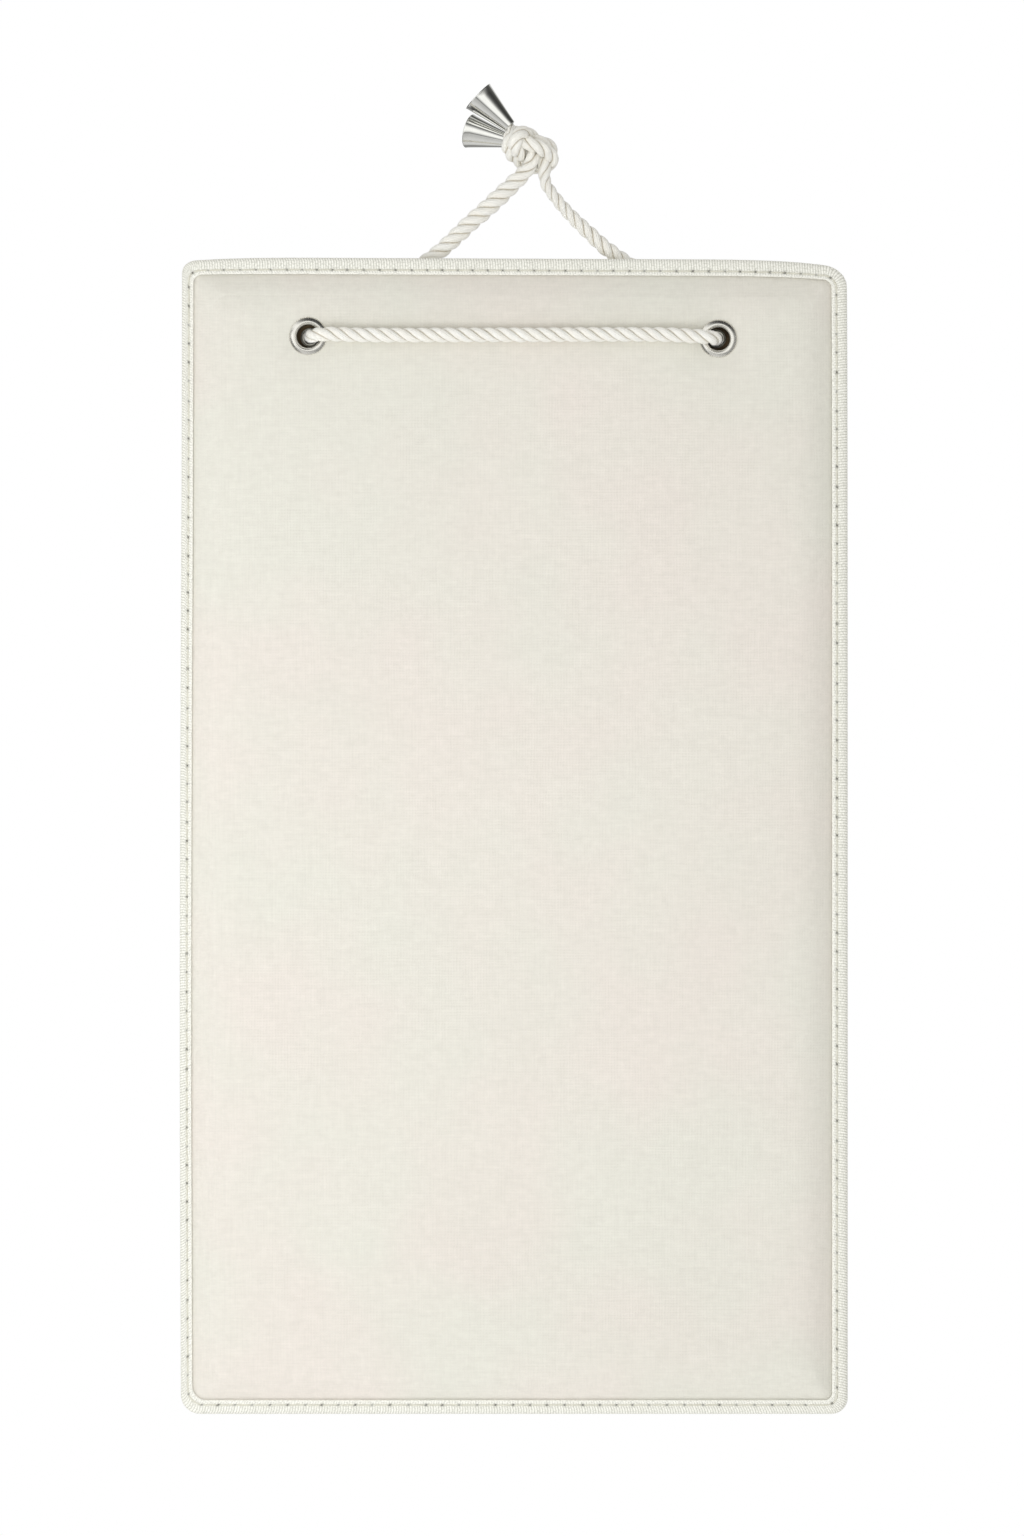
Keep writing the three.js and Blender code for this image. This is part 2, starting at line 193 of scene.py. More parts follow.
# ------------------------------------------------------------ node materials
def new_material(name):
    m = bpy.data.materials.new(name)
    m.use_nodes = True
    m.node_tree.nodes.clear()
    out = m.node_tree.nodes.new("ShaderNodeOutputMaterial")
    bsdf = m.node_tree.nodes.new("ShaderNodeBsdfPrincipled")
    m.node_tree.links.new(bsdf.outputs[0], out.inputs[0])
    return m, m.node_tree, bsdf


class Graph:
    """Short names for building node trees."""

    def __init__(self, tree):
        self.t = tree

    def node(self, kind, **props):
        n = self.t.nodes.new(kind)
        for k, v in props.items():
            setattr(n, k, v)
        return n

    def put(self, socket, value):
        if isinstance(value, bpy.types.NodeSocket):
            self.t.links.new(value, socket)
        else:
            socket.default_value = value

    def math(self, op, a, b=0.0, c=None):
        n = self.node("ShaderNodeMath", operation=op)
        self.put(n.inputs[0], a)
        self.put(n.inputs[1], b)
        if c is not None:
            self.put(n.inputs[2], c)
        return n.outputs[0]

    def vmath(self, op, a, b):
        n = self.node("ShaderNodeVectorMath", operation=op)
        self.put(n.inputs[0], a)
        self.put(n.inputs[1], b)
        return n.outputs[0]

    def mix(self, factor, a, b, blend="MIX"):
        n = self.node("ShaderNodeMix", data_type="RGBA", blend_type=blend)
        self.put(n.inputs[0], factor)
        self.put(n.inputs[6], a)
        self.put(n.inputs[7], b)
        return n.outputs[2]

    def noise(self, vector, scale, detail=2.0, rough=0.5):
        n = self.node("ShaderNodeTexNoise")
        self.put(n.inputs["Vector"], vector)
        n.inputs["Scale"].default_value = scale
        n.inputs["Detail"].default_value = detail
        n.inputs["Roughness"].default_value = rough
        return n.outputs["Fac"]

    def object_mm(self, scale=(1, 1, 1)):
        c = self.node("ShaderNodeTexCoord")
        return self.vmath("MULTIPLY", c.outputs["Object"], tuple(1000 * s for s in scale))

    def uv(self, scale=(1, 1, 1)):
        c = self.node("ShaderNodeTexCoord")
        return self.vmath("MULTIPLY", c.outputs["UV"], scale)

    def split(self, vector):
        n = self.node("ShaderNodeSeparateXYZ")
        self.put(n.inputs[0], vector)
        return n.outputs

    def map(self, value, lo, hi, to_lo, to_hi):
        n = self.node("ShaderNodeMapRange")
        self.put(n.inputs[0], value)
        for i, v in enumerate((lo, hi, to_lo, to_hi)):
            n.inputs[i + 1].default_value = v
        return n.outputs[0]

    def bump(self, height, distance, strength=1.0, normal=None):
        n = self.node("ShaderNodeBump")
        n.inputs["Strength"].default_value = strength
        n.inputs["Distance"].default_value = distance
        self.put(n.inputs["Height"], height)
        if normal is not None:
            self.put(n.inputs["Normal"], normal)
        return n.outputs[0]

    def attribute(self, name):
        n = self.node("ShaderNodeAttribute", attribute_name=name)
        return n.outputs["Fac"]


def rgb(r, g, b):
    """A colour given as it looks, 0 to 255, made linear."""
    def lin(c):
        c /= 255
        return c / 12.92 if c <= 0.04045 else ((c + 0.055) / 1.055) ** 2.4
    return (lin(r), lin(g), lin(b), 1.0)


def weave_height(g, pitch, warp=0.12):
    """Plain weave: warp and weft threads pass over each other in turn."""
    mm = g.object_mm()
    x, y, z = g.split(mm)[:3]
    wob = g.math("MULTIPLY", g.math("SUBTRACT", g.noise(mm, 0.35, 3), 0.5), warp * 4)
    wob2 = g.math("MULTIPLY", g.math("SUBTRACT", g.noise(g.vmath("ADD", mm, (31, 7, 90)), 0.35, 3), 0.5), warp * 4)
    k = math.pi / pitch
    a = g.math("MULTIPLY", g.math("ADD", x, wob), k)
    b = g.math("MULTIPLY", g.math("ADD", z, wob2), k)
    sa, ca = g.math("SINE", a), g.math("COSINE", a)
    sb, cb = g.math("SINE", b), g.math("COSINE", b)
    checker = g.math("MULTIPLY", g.math("MULTIPLY", sa, sb), 1.0)
    round_a = g.math("ABSOLUTE", sa)
    round_b = g.math("ABSOLUTE", sb)
    over = g.math("MULTIPLY_ADD", checker, 0.5, 0.5)
    h = g.math("ADD", g.math("MULTIPLY", round_a, over),
               g.math("MULTIPLY", round_b, g.math("SUBTRACT", 1.0, over)))
    slub = g.math("ADD", g.noise(g.vmath("MULTIPLY", mm, (0.09, 1, 2.1)), 1.0, 2),
                  g.noise(g.vmath("MULTIPLY", mm, (2.1, 1, 0.09)), 1.0, 2))
    return g.math("MULTIPLY_ADD", slub, 0.55, h), slub, mm


def cloth_material(name, base, pitch, depth, tint=1.0, rough=0.88):
    m, tree, bsdf = new_material(name)
    g = Graph(tree)
    h, slub, mm = weave_height(g, pitch)
    big = g.noise(g.vmath("ADD", mm, (5, 3, 17)), 0.012, 3)
    cast = g.noise(g.vmath("ADD", mm, (70, 41, 3)), 0.017, 2)
    warm = (min(base[0] * 1.02, 1), base[1] * 0.985, base[2] * 0.985, 1)
    cool = (base[0] * 0.985, min(base[1] * 1.005, 1), base[2] * 0.985, 1)
    colour = g.mix(g.map(cast, 0.35, 0.65, 0, 1), warm, cool)
    colour = g.mix(g.map(big, 0.3, 0.7, 0.0, 0.14 * tint), colour, (base[0] * 0.86, base[1] * 0.86, base[2] * 0.84, 1))
    fleck = g.noise(g.vmath("ADD", g.vmath("MULTIPLY", mm, (0.5, 1, 0.8)), (3, 9, 27)), 0.55, 4, 0.7)
    colour = g.mix(g.map(fleck, 0.32, 0.68, 0.2, 0.0), colour, (base[0] * 0.72, base[1] * 0.71, base[2] * 0.68, 1))
    colour = g.mix(g.map(slub, 0.7, 1.3, 0.12, 0.0), colour, (base[0] * 0.6, base[1] * 0.6, base[2] * 0.58, 1))
    # painted shade: the low spots between the woven threads are darkened
    colour = g.mix(g.map(h, 0.3, 1.1, 0.10, 0.0), colour, (base[0] * 0.55, base[1] * 0.54, base[2] * 0.5, 1))
    g.put(bsdf.inputs["Base Color"], colour)
    bsdf.inputs["Roughness"].default_value = rough
    bsdf.inputs["Specular IOR Level"].default_value = 0.25
    bsdf.inputs["Sheen Weight"].default_value = 0.12
    bsdf.inputs["Sheen Roughness"].default_value = 0.5
    fine = g.noise(mm, 9.0, 2)
    n = g.bump(fine, 0.00002, 0.5)
    g.put(bsdf.inputs["Normal"], g.bump(h, depth * MM, 0.8, n))
    return m


def tape_material():
    m, tree, bsdf = new_material("grosgrain_tape")
    g = Graph(tree)
    uv = g.split(g.uv())
    mm = g.object_mm()
    base = rgb(253, 252, 243)
    across = g.math("SINE", g.math("MULTIPLY", uv[1], 2 * math.pi / 0.32))
    rib = g.attribute("rib")
    needle_hole_shade = g.attribute("needle_hole_shade")
    shade = g.noise(g.vmath("ADD", mm, (11, 2, 8)), 0.05, 3)
    per_rib = g.noise(g.vmath("MULTIPLY", g.uv(), (1 / RIB * 0.9, 0.1, 1)), 1.0, 1)
    rough_yarn = g.noise(g.vmath("MULTIPLY", g.uv(), (1.3, 2.2, 1)), 1.0, 3, 0.65)
    colour = g.mix(g.map(shade, 0.3, 0.7, 0, 0.16), base, rgb(247, 243, 230))
    colour = g.mix(g.map(per_rib, 0.3, 0.7, 0, 0.25), colour, rgb(232, 231, 219))
    # painted shade: the grooves between the ribs are darkened
    colour = g.mix(g.map(rib, 0.0, 0.6, 0.68, 0.0), colour, rgb(176, 175, 160))
    colour = g.mix(g.map(rough_yarn, 0.38, 0.54, 0.55, 0.0), colour, rgb(190, 189, 176))
    # painted shade: the tape is darkened in the needle holes
    colour = g.mix(needle_hole_shade, colour, rgb(74, 72, 62))
    g.put(bsdf.inputs["Base Color"], colour)
    bsdf.inputs["Roughness"].default_value = 0.72
    bsdf.inputs["Specular IOR Level"].default_value = 0.35
    bsdf.inputs["Sheen Weight"].default_value = 0.15
    bsdf.inputs["Sheen Roughness"].default_value = 0.4
    g.put(bsdf.inputs["Normal"], g.bump(across, 0.00002, 0.6, g.bump(g.noise(mm, 7.0, 2), 0.00002, 0.5)))
    return m


def cord_material():
    m, tree, bsdf = new_material("satin_cord")
    g = Graph(tree)
    uv = g.split(g.uv())
    # fine filaments run along each strand with a slight twist of their own
    turn = g.math("MULTIPLY_ADD", uv[1], 0.055, uv[0])
    lines = g.math("SINE", g.math("MULTIPLY", turn, 2 * math.pi * 13))
    fil = g.noise(g.vmath("MULTIPLY", g.uv(), (26, 0.35, 1)), 1.0, 3, 0.6)
    fil2 = g.noise(g.vmath("MULTIPLY", g.uv(), (60, 0.8, 1)), 1.0, 2, 0.6)
    h = g.math("ADD", g.math("MULTIPLY", lines, 0.34), g.math("ADD", fil, g.math("MULTIPLY", fil2, 0.6)))
    gap_shade = g.attribute("strand_gap_shade")
    soft = g.noise(g.vmath("MULTIPLY", g.uv(), (1.5, 0.12, 1)), 1.0, 2)
    base = g.mix(g.map(soft, 0.35, 0.65, 0, 1), rgb(255, 254, 247), rgb(255, 252, 242))
    base = g.mix(g.map(fil, 0.35, 0.65, 0.09, 0.0), base, rgb(226, 219, 202))
    # painted shade in the troughs between the fine filaments
    base = g.mix(g.map(lines, -1.0, 0.2, 0.08, 0.0), base, rgb(218, 211, 193))
    # painted shade: the strands are darkened on their inner sides, down between the strands
    base = g.mix(g.map(gap_shade, 0.45, 1.0, 0.0, 0.95), base, rgb(196, 186, 163))
    g.put(bsdf.inputs["Base Color"], base)
    bsdf.inputs["Roughness"].default_value = 0.38
    bsdf.inputs["Specular IOR Level"].default_value = 0.6
    bsdf.inputs["Sheen Weight"].default_value = 0.2
    g.put(bsdf.inputs["Normal"], g.bump(h, 0.0002, 0.9))
    return m


def thread_material():
    m, tree, bsdf = new_material("sewing_thread")
    g = Graph(tree)
    uv = g.split(g.uv())
    ply = g.math("SINE", g.math("MULTIPLY", g.math("ADD", g.math("MULTIPLY", uv[1], 1.6), g.math("MULTIPLY", uv[0], 3)), 2 * math.pi))
    tone = g.noise(g.object_mm(), 0.8, 2)
    base = g.mix(g.map(tone, 0.3, 0.7, 0, 1), rgb(232, 230, 216), rgb(219, 216, 200))
    # painted shade: the grooves between the thread's plies are darkened
    base = g.mix(g.map(ply, -1, 1, 0.25, 0), base, rgb(176, 172, 154))
    g.put(bsdf.inputs["Base Color"], base)
    bsdf.inputs["Roughness"].default_value = 0.5
    g.put(bsdf.inputs["Normal"], g.bump(ply, 0.00003, 0.7))
    return m


def metal_material(name, base, rough, brushed=0.0):
    m, tree, bsdf = new_material(name)
    g = Graph(tree)
    mm = g.object_mm()
    cloud = g.noise(mm, 0.35, 3)
    spots = g.noise(g.vmath("ADD", mm, (9, 9, 9)), 2.6, 3)
    colour = g.mix(g.map(cloud, 0.35, 0.7, 0, 0.5), base, tuple(c * 0.9 for c in base[:3]) + (1,))
    g.put(bsdf.inputs["Base Color"], colour)
    bsdf.inputs["Metallic"].default_value = 1.0
    r = g.map(spots, 0.35, 0.75, rough, rough + 0.06)
    g.put(bsdf.inputs["Roughness"], r)
    fine = g.noise(g.vmath("MULTIPLY", mm, (1, 1, 1)), 3.0, 3)
    g.put(bsdf.inputs["Normal"], g.bump(fine, 0.00002 * brushed, 0.25))
    return m


def foam_material():
    m, tree, bsdf = new_material("foam")
    g = Graph(tree)
    mm = g.object_mm()
    cells = g.node("ShaderNodeTexVoronoi")
    g.put(cells.inputs["Vector"], mm)
    cells.inputs["Scale"].default_value = 1.6
    # painted shade: each pore is darkened towards its middle, where the bump sinks it
    g.put(bsdf.inputs["Base Color"], g.mix(g.map(cells.outputs["Distance"], 0, 0.7, 0.5, 0), rgb(244, 240, 226), rgb(205, 198, 176)))
    bsdf.inputs["Roughness"].default_value = 0.95
    g.put(bsdf.inputs["Normal"], g.bump(cells.outputs["Distance"], 0.0002, 0.6))
    return m


def fibreboard_material():
    m, tree, bsdf = new_material("fibreboard")
    g = Graph(tree)
    mm = g.object_mm()
    a = g.noise(mm, 0.9, 5, 0.7)
    b = g.noise(g.vmath("MULTIPLY", mm, (0.4, 1, 2.2)), 1.5, 4, 0.7)
    colour = g.mix(g.map(g.math("ADD", a, b), 0.7, 1.3, 0, 1), rgb(170, 140, 100), rgb(205, 178, 136))
    x, _, z = g.split(mm)[:3]
    # painted shade: the board is darkened round each eyelet hole, where it lies in the shade down the bore
    for ex, ez in EYELETS.values():
        dx, dz = g.math("SUBTRACT", x, ex), g.math("SUBTRACT", z, ez)
        far = g.math("SQRT", g.math("ADD", g.math("MULTIPLY", dx, dx), g.math("MULTIPLY", dz, dz)))
        colour = g.mix(g.map(far, 5.5, 7.5, 0.85, 0.0), colour, rgb(84, 70, 50))
    g.put(bsdf.inputs["Base Color"], colour)
    bsdf.inputs["Roughness"].default_value = 0.85
    g.put(bsdf.inputs["Normal"], g.bump(b, 0.0001, 0.5))
    return m


MAT = {
    "canvas": cloth_material("face_canvas", rgb(233, 229, 219), 0.52, 0.09),
    "lining": cloth_material("back_lining", rgb(224, 221, 210), 0.42, 0.05, 1.4),
    "tape": tape_material(),
    "cord": cord_material(),
    "thread": thread_material(),
    "nickel": metal_material("nickel_plate", rgb(238, 236, 230), 0.25, 1.0),
    "tip": metal_material("polished_tip", rgb(240, 240, 237), 0.055, 0.0),
    # painted shade: a dark metal for the inside of the eyelet barrels, standing in for the shade down the bore
    "barrel": metal_material("painted_shade_barrel", rgb(78, 74, 62), 0.6, 1.0),
    "foam": foam_material(),
    "fibreboard": fibreboard_material(),
}

# ------------------------------------------------------------------ the cord
# Knot lines: the left leg's cord up to the upper tip, the right leg's to the lower.
KNOT_LEFT = [
    (-19.4, 0.00, -13.0), (-16.7, 0.01, -10.5), (-14.0, 0.01, -8.0), (-11.5, 0.00, -5.6),
    (-9.3, -0.45, -3.4), (-7.6, -1.15, -1.4), (-6.2, -2.0, 0.5), (-4.9, -2.75, 2.5), (-3.94, -2.9, 4.56), (-3.54, -1.6, 6.68),
    (-3.75, 0.86, 8.22), (-4.17, 2.87, 10.18), (-4.84, 3.40, 12.45), (-6.18, 2.88, 14.20),
    (-7.96, 1.57, 14.63), (-9.55, 0.19, 13.76), (-10.82, -1.12, 12.36), (-11.56, -1.54, 10.27),
    (-11.68, -0.42, 8.25), (-11.24, 1.33, 6.64), (-10.62, 2.99, 4.94), (-9.27, 4.07, 3.14),
    (-7.23, 4.41, 1.67), (-4.77, 4.22, 0.97), (-2.25, 3.88, 0.77), (0.26, 3.66, 1.07),
    (2.45, 2.85, 1.96), (3.58, 1.02, 3.28), (3.14, -0.93, 4.81), (2.02, -2.62, 6.32),
    (0.75, -4.24, 7.73), (-1.02, -5.48, 8.95), (-3.21, -5.63, 10.07), (-5.36, -4.89, 11.06),
    (-7.25, -3.77, 12.26), (-8.74, -2.3, 13.9),
]
KNOT_RIGHT = [
    (11.2, 0.01, -15.6), (8.6, 0.02, -12.9), (6.3, 0.03, -10.2), (4.2, 0.03, -7.6), (2.5, 0.02, -5.2),
    (1.2, -0.03, -2.9), (0.2, -0.12, -0.6), (-0.3, -0.1, 1.5), (-0.31, 0.30, 3.4), (-0.07, 1.36, 5.21), (0.07, 1.98, 7.69),
    (-0.31, 1.97, 10.22), (-1.31, 1.48, 12.53), (-2.46, -0.10, 14.19), (-3.66, -2.32, 14.79),
    (-4.68, -4.68, 15.12), (-6.06, -6.79, 14.59), (-7.86, -7.62, 12.99), (-9.14, -6.99, 10.93),
    (-9.44, -5.41, 9.05), (-9.05, -3.56, 7.50), (-8.21, -1.55, 6.40), (-7.42, 0.63, 5.69),
    (-6.18, 2.60, 5.08), (-4.30, 4.06, 4.90), (-2.46, 5.42, 4.41), (-0.32, 6.10, 4.12),
    (1.75, 5.45, 4.84), (3.20, 4.04, 5.97), (3.97, 2.27, 7.29), (3.56, 0.45, 8.69),
    (2.31, -0.98, 10.02), (0.41, -1.92, 10.92), (-1.89, -1.97, 10.72), (-4.11, -1.16, 10.78),
    (-6.29, -0.20, 10.61), (-8.11, 0.9, 10.4),
]
LEFT_LOWER = [(-80.4, 0, -57.35), (-70.0, 0, -49.6), (-56.0, 0, -40.6), (-43.5, 0, -33.2), (-33.6, 0, -26.0)]
RIGHT_LOWER = [(61.2, 0, -57.35), (52.2, 0, -46.6), (41.5, 0, -37.9), (31.4, 0, -32.2), (22.3, 0, -26.0)]


def tail(which):
    c, u, a = KNOT_C, TIP_AXIS[which], TIP_START[which]
    return [tuple(c + u * s) for s in (a + 0.6, a + 3, a + 6, a + 9, a + 12, a + 14.2)]


def through(which, s):
    x, z = EYELETS[which]
    return [(x + s * 0.5, -2.6, MOUTH_Z), (x + s * 0.8, -7.9, z), (x + s * 0.95, -11.6, z),
            (x + s * 1.15, -14.1, z + 0.1), (x + s * 2.1, -15.7, z + 0.3),
            (x + s * 3.9, -16.6, z + 0.5), (x + s * 6.6, -16.8, z + 0.7)]


left_up = tail("upper")[::-1] + KNOT_LEFT[::-1] + [(-24.4, 0, -17.3)]
front = (LEFT_LOWER[::-1] + through("left", 1)
         + [(-64.4, -16.7, -56.5), (-9.6, -16.6, -56.5), (45.2, -16.7, -56.5)]
         + through("right", -1)[::-1] + RIGHT_LOWER)
right_up = [(16.9, 0, -21.0)] + KNOT_RIGHT + tail("lower")
STEP = 0.45


def smooth(lo, hi, x):
    u = np.clip((np.asarray(x, float) - lo) / (hi - lo), 0, 1)
    return u * u * (3 - 2 * u)


def drawn_tight(p):
    """The pull of the loop closes the knot and flattens it across its long direction."""
    c = np.array([-4.1, 0, 8.9])
    q = p - c
    a = q[..., 0] * 0.788 - q[..., 2] * 0.616
    b = q[..., 0] * 0.616 + q[..., 2] * 0.788
    w = (1 - smooth(10, 19, np.hypot(a, b))) * smooth(-4, 3, p[..., 2])
    for which in ("upper", "lower"):
        neck = KNOT_C + TIP_AXIS[which] * (TIP_START[which] + 2)
        w = w * smooth(2.2, 7.5, np.linalg.norm(p - neck, axis=-1))
    da, db = TIGHT[0] * w * a, TIGHT[1] * w * b
    out = p.copy()
    out[..., 0] += da * 0.788 + db * 0.616
    out[..., 1] *= 1 + TIGHT[2] * w
    out[..., 2] += -da * 0.616 + db * 0.788
    # and turns it a little
    q = out - c
    turn = TIGHT[3] * w
    out[..., 0] = c[0] + q[..., 0] * np.cos(turn) - q[..., 2] * np.sin(turn)
    out[..., 2] = c[2] + q[..., 0] * np.sin(turn) + q[..., 2] * np.cos(turn)
    return out


TIGHT = (-0.04, -0.28, -0.14, 0.19)
line = catmull(left_up + front + right_up, STEP)
line = evenly(smoothed(line, 10), STEP)
line = evenly(smoothed(drawn_tight(line), 4), STEP)


def nearest(point):
    return int(np.linalg.norm(line - np.array(point), axis=1).argmin())


def station(point, lo=0, hi=None):
    seg = line[lo:hi]
    return lo + int(np.linalg.norm(seg - np.array(point), axis=1).argmin())


mid = len(line) // 2
s_left_mouth = station((-80.4, 0, MOUTH_Z), 0, mid)
s_right_mouth = station((61.2, 0, MOUTH_Z), mid)
s_left_cut = station((-56.0, 0, -40.6), 0, mid)
s_right_cut = station((41.5, 0, -37.4), mid)
s_left_in = station(KNOT_C + TIP_AXIS["upper"] * TIP_START["upper"], 0, mid)
s_right_in = station(KNOT_C + TIP_AXIS["lower"] * TIP_START["lower"], mid)
s_left_top = station((-10.2, 0, -3.6), 0, mid)
s_right_top = station((2.5, 0, -5.2), mid)
s_left_bend = station((-33.6, 0, BEND_Z), 0, mid)
s_right_bend = station((22.3, 0, BEND_Z), mid)

# how full the cord is along its length: pulled thin into the tips, loose on
# the left leg, hard on the right one under the knot
mm_at = np.arange(len(line)) * STEP
marks = [
    (0, 0.12), (s_left_in - 28, 0.8), (s_left_in - 23, 1.22), (s_left_in - 17, 1.0), (s_left_in - 12, 0.56), (s_left_in + 2, 0.62),
    (s_left_in + 12, 0.92), (s_left_in + 22, 1.0), (s_left_top - 24, 1.0), (s_left_top - 4, 1.16), (s_left_top + 14, 1.22),
    (s_left_bend - 12, 1.14), (s_left_bend + 20, 1.04), (s_left_mouth - 20, 1.0), (s_left_mouth + 8, 0.95),
    (s_left_mouth + 30, 0.93), (s_left_mouth + 50, 1.0),
    (s_right_mouth - 50, 1.0), (s_right_mouth - 30, 0.96), (s_right_mouth - 8, 0.95), (s_right_mouth + 20, 1.0),
    (s_right_bend - 10, 1.06), (s_right_bend + 14, 1.0), (s_right_top - 16, 0.84), (s_right_top + 4, 0.8), (s_right_top + 26, 1.0),
    (s_right_in - 22, 1.0), (s_right_in - 10, 0.86), (s_right_in, 0.62), (s_right_in + 12, 0.56), (s_right_in + 17, 1.0), (s_right_in + 23, 1.22),
    (s_right_in + 28, 0.8), (len(line) - 1, 0.12),
]
marks = sorted(marks)
full = spline([m[1] for m in marks], [m[0] for m in marks], np.arange(len(line)))

tangent = np.gradient(line, axis=0)
tangent /= np.linalg.norm(tangent, axis=1)[:, None]
normal = np.zeros_like(line)
n0 = np.cross(tangent[0], [0, 0, 1.0])
normal[0] = n0 / np.linalg.norm(n0)
for i in range(1, len(line)):
    n = normal[i - 1] - tangent[i] * np.dot(normal[i - 1], tangent[i])
    normal[i] = n / np.linalg.norm(n)
binormal = np.cross(tangent, normal)
# a thin, hard stretch is twisted tighter
rate = 2 * math.pi / (CORD_PITCH * np.clip(0.25 + 0.75 * full, 0.7, 1.0))
twist = np.r_[0, np.cumsum((rate[1:] + rate[:-1]) / 2 * STEP)]


SIDES = 24
# a strand's section: round outside, flattened where it meets the other two
strand_r, strand_c = 1.36, 1.2
sec_a = np.linspace(0, 2 * math.pi, SIDES, endpoint=False)


def sweep(first, last, name):
    verts, faces, uvs, gap_shade = [], [], [], []
    base = 0
    for k in range(3):
        a = twist[first:last] + 2 * math.pi * k / 3
        f = full[first:last]
        radial = np.cos(a)[:, None] * normal[first:last] + np.sin(a)[:, None] * binormal[first:last]
        side = -np.sin(a)[:, None] * normal[first:last] + np.cos(a)[:, None] * binormal[first:last]
        centre = line[first:last] + radial * (strand_c * f)[:, None]
        wob = 1 + 0.035 * wander(mm_at[first:last], 6.5, 50 + k)
        ca, sa = np.cos(sec_a), np.sin(sec_a)
        # wider across than deep, so that the three fill the round
        out_r = strand_r * (1 + 0.03 * ca)
        wide = strand_r * 1.12
        p = (centre[:, None] + radial[:, None] * (f * wob)[:, None, None] * (out_r * ca)[None, :, None]
             + side[:, None] * (f * wob)[:, None, None] * (wide * sa)[None, :, None])
        n = last - first
        verts.append(p.reshape(-1, 3))
        # painted shade: this value rises on the strands' inner sides, down between the strands, where the cord material
        # darkens the colour
        dist = np.linalg.norm(p - line[first:last][:, None], axis=2) / (CORD_R * f)[:, None]
        gap_shade.append(np.clip((0.94 - dist) / 0.3, 0, 1).ravel())
        idx = base + np.arange(n * SIDES).reshape(n, SIDES)
        nxt = np.roll(idx, -1, axis=1)
        q = np.stack([idx[:-1], nxt[:-1], nxt[1:], idx[1:]], 2).reshape(-1, 4)
        faces += q.tolist()
        u0 = np.arange(SIDES) / SIDES
        u1 = u0 + 1 / SIDES
        s = mm_at[first:last]
        uv = np.zeros((n - 1, SIDES, 4, 2), np.float32)
        uv[..., 0, 0] = u0; uv[..., 1, 0] = u1; uv[..., 2, 0] = u1; uv[..., 3, 0] = u0
        uv[..., 0, 1] = s[:-1, None]; uv[..., 1, 1] = s[:-1, None]; uv[..., 2, 1] = s[1:, None]; uv[..., 3, 1] = s[1:, None]
        uvs.append(uv.reshape(-1, 2) + np.array([k * 7.3, k * 31.0]))
        faces.append(idx[0][::-1].tolist())
        faces.append(idx[-1].tolist())
        cap = np.zeros((2 * SIDES, 2))
        uvs.append(cap)
        base += n * SIDES
    v = np.vstack(verts)
    o = mesh_object(name, v, faces, np.vstack(uvs), True, {"strand_gap_shade": np.concatenate(gap_shade)})
    o.data.materials.append(MAT["cord"])
    return o


rope_left = sweep(0, s_left_cut + 1, "hanging_cord_left")
rope_front = sweep(s_left_cut, s_right_cut + 1, "hanging_cord_front")
rope_right = sweep(s_right_cut, len(line), "hanging_cord_right")


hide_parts("left_upper_leg", "hanger_knot", "upper_tail")
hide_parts("front_cord_run", "left_lower_leg", "right_lower_leg")
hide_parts("right_upper_leg", "lower_tail")


# --------------------------------------------------------------------- tips
def lathe(name, profile, axis, origin, segments, material, closed=True):
    """Turns (radius, distance) points about axis from origin."""
    prof = np.asarray(profile, float)
    u = np.asarray(axis, float)
    u = u / np.linalg.norm(u)
    e1 = np.cross(u, [0, 0, 1.0])
    if np.linalg.norm(e1) < 1e-3:
        e1 = np.cross(u, [1.0, 0, 0])
    e1 /= np.linalg.norm(e1)
    e2 = np.cross(u, e1)
    a = np.linspace(0, 2 * math.pi, segments, endpoint=False)
    ring = np.cos(a)[:, None] * e1 + np.sin(a)[:, None] * e2
    v = (np.asarray(origin, float) + prof[:, None, 1:2] * u + prof[:, None, 0:1] * ring[None]).reshape(-1, 3)
    n = len(prof)
    faces = []
    spans = n if closed else n - 1
    for k in range(spans):
        k2 = (k + 1) % n
        for i in range(segments):
            j = (i + 1) % segments
            faces.append([k * segments + i, k2 * segments + i, k2 * segments + j, k * segments + j])
    if volume(v, faces) < 0:
        faces = [f[::-1] for f in faces]
    o = mesh_object(name, v, faces)
    o.data.materials.append(material)
    return o


def arc_points(cx, cy, r, a0, a1, n):
    a = np.radians(np.linspace(a0, a1, n))
    return [(cx + r * math.cos(t), cy + r * math.sin(t)) for t in a]


for side in ("upper", "lower"):
    a = TIP_START[side]
    end = a + TIP_LENGTH
    (r0, r1), w = TIP_R, 0.45
    slope = (r1 - r0) / TIP_LENGTH
    outer = [(r0 + slope * s - 0.04 * math.sin(math.pi * s / TIP_LENGTH), a + s) for s in np.linspace(0.35, TIP_LENGTH - 0.55, 9)]
    rim = [(r1 - 0.06, end - 0.42), (r1 + 0.02, end - 0.28), (r1 + 0.03, end - 0.14), (r1 - 0.05, end - 0.03),
           (r1 - 0.18, end), (r1 - 0.34, end - 0.03), (r1 - 0.45, end - 0.16)]
    inner = [(r0 - w + slope * s, a + s) for s in np.linspace(TIP_LENGTH - 0.6, 0.35, 14)]
    neck = [(r0 - w, a + 0.12), (r0 - w + 0.1, a + 0.02), (r0 - 0.12, a + 0.02), (r0 + 0.02, a + 0.14)]
    tip = lathe(f"{side}_cord_tip", outer + rim + inner + neck, TIP_AXIS[side], KNOT_C, 288, MAT["tip"])
    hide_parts(f"{side}_tip")
    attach(tip, f"{side}_tip")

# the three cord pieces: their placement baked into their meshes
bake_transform(rope_left)
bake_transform(rope_right)
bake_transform(rope_front)


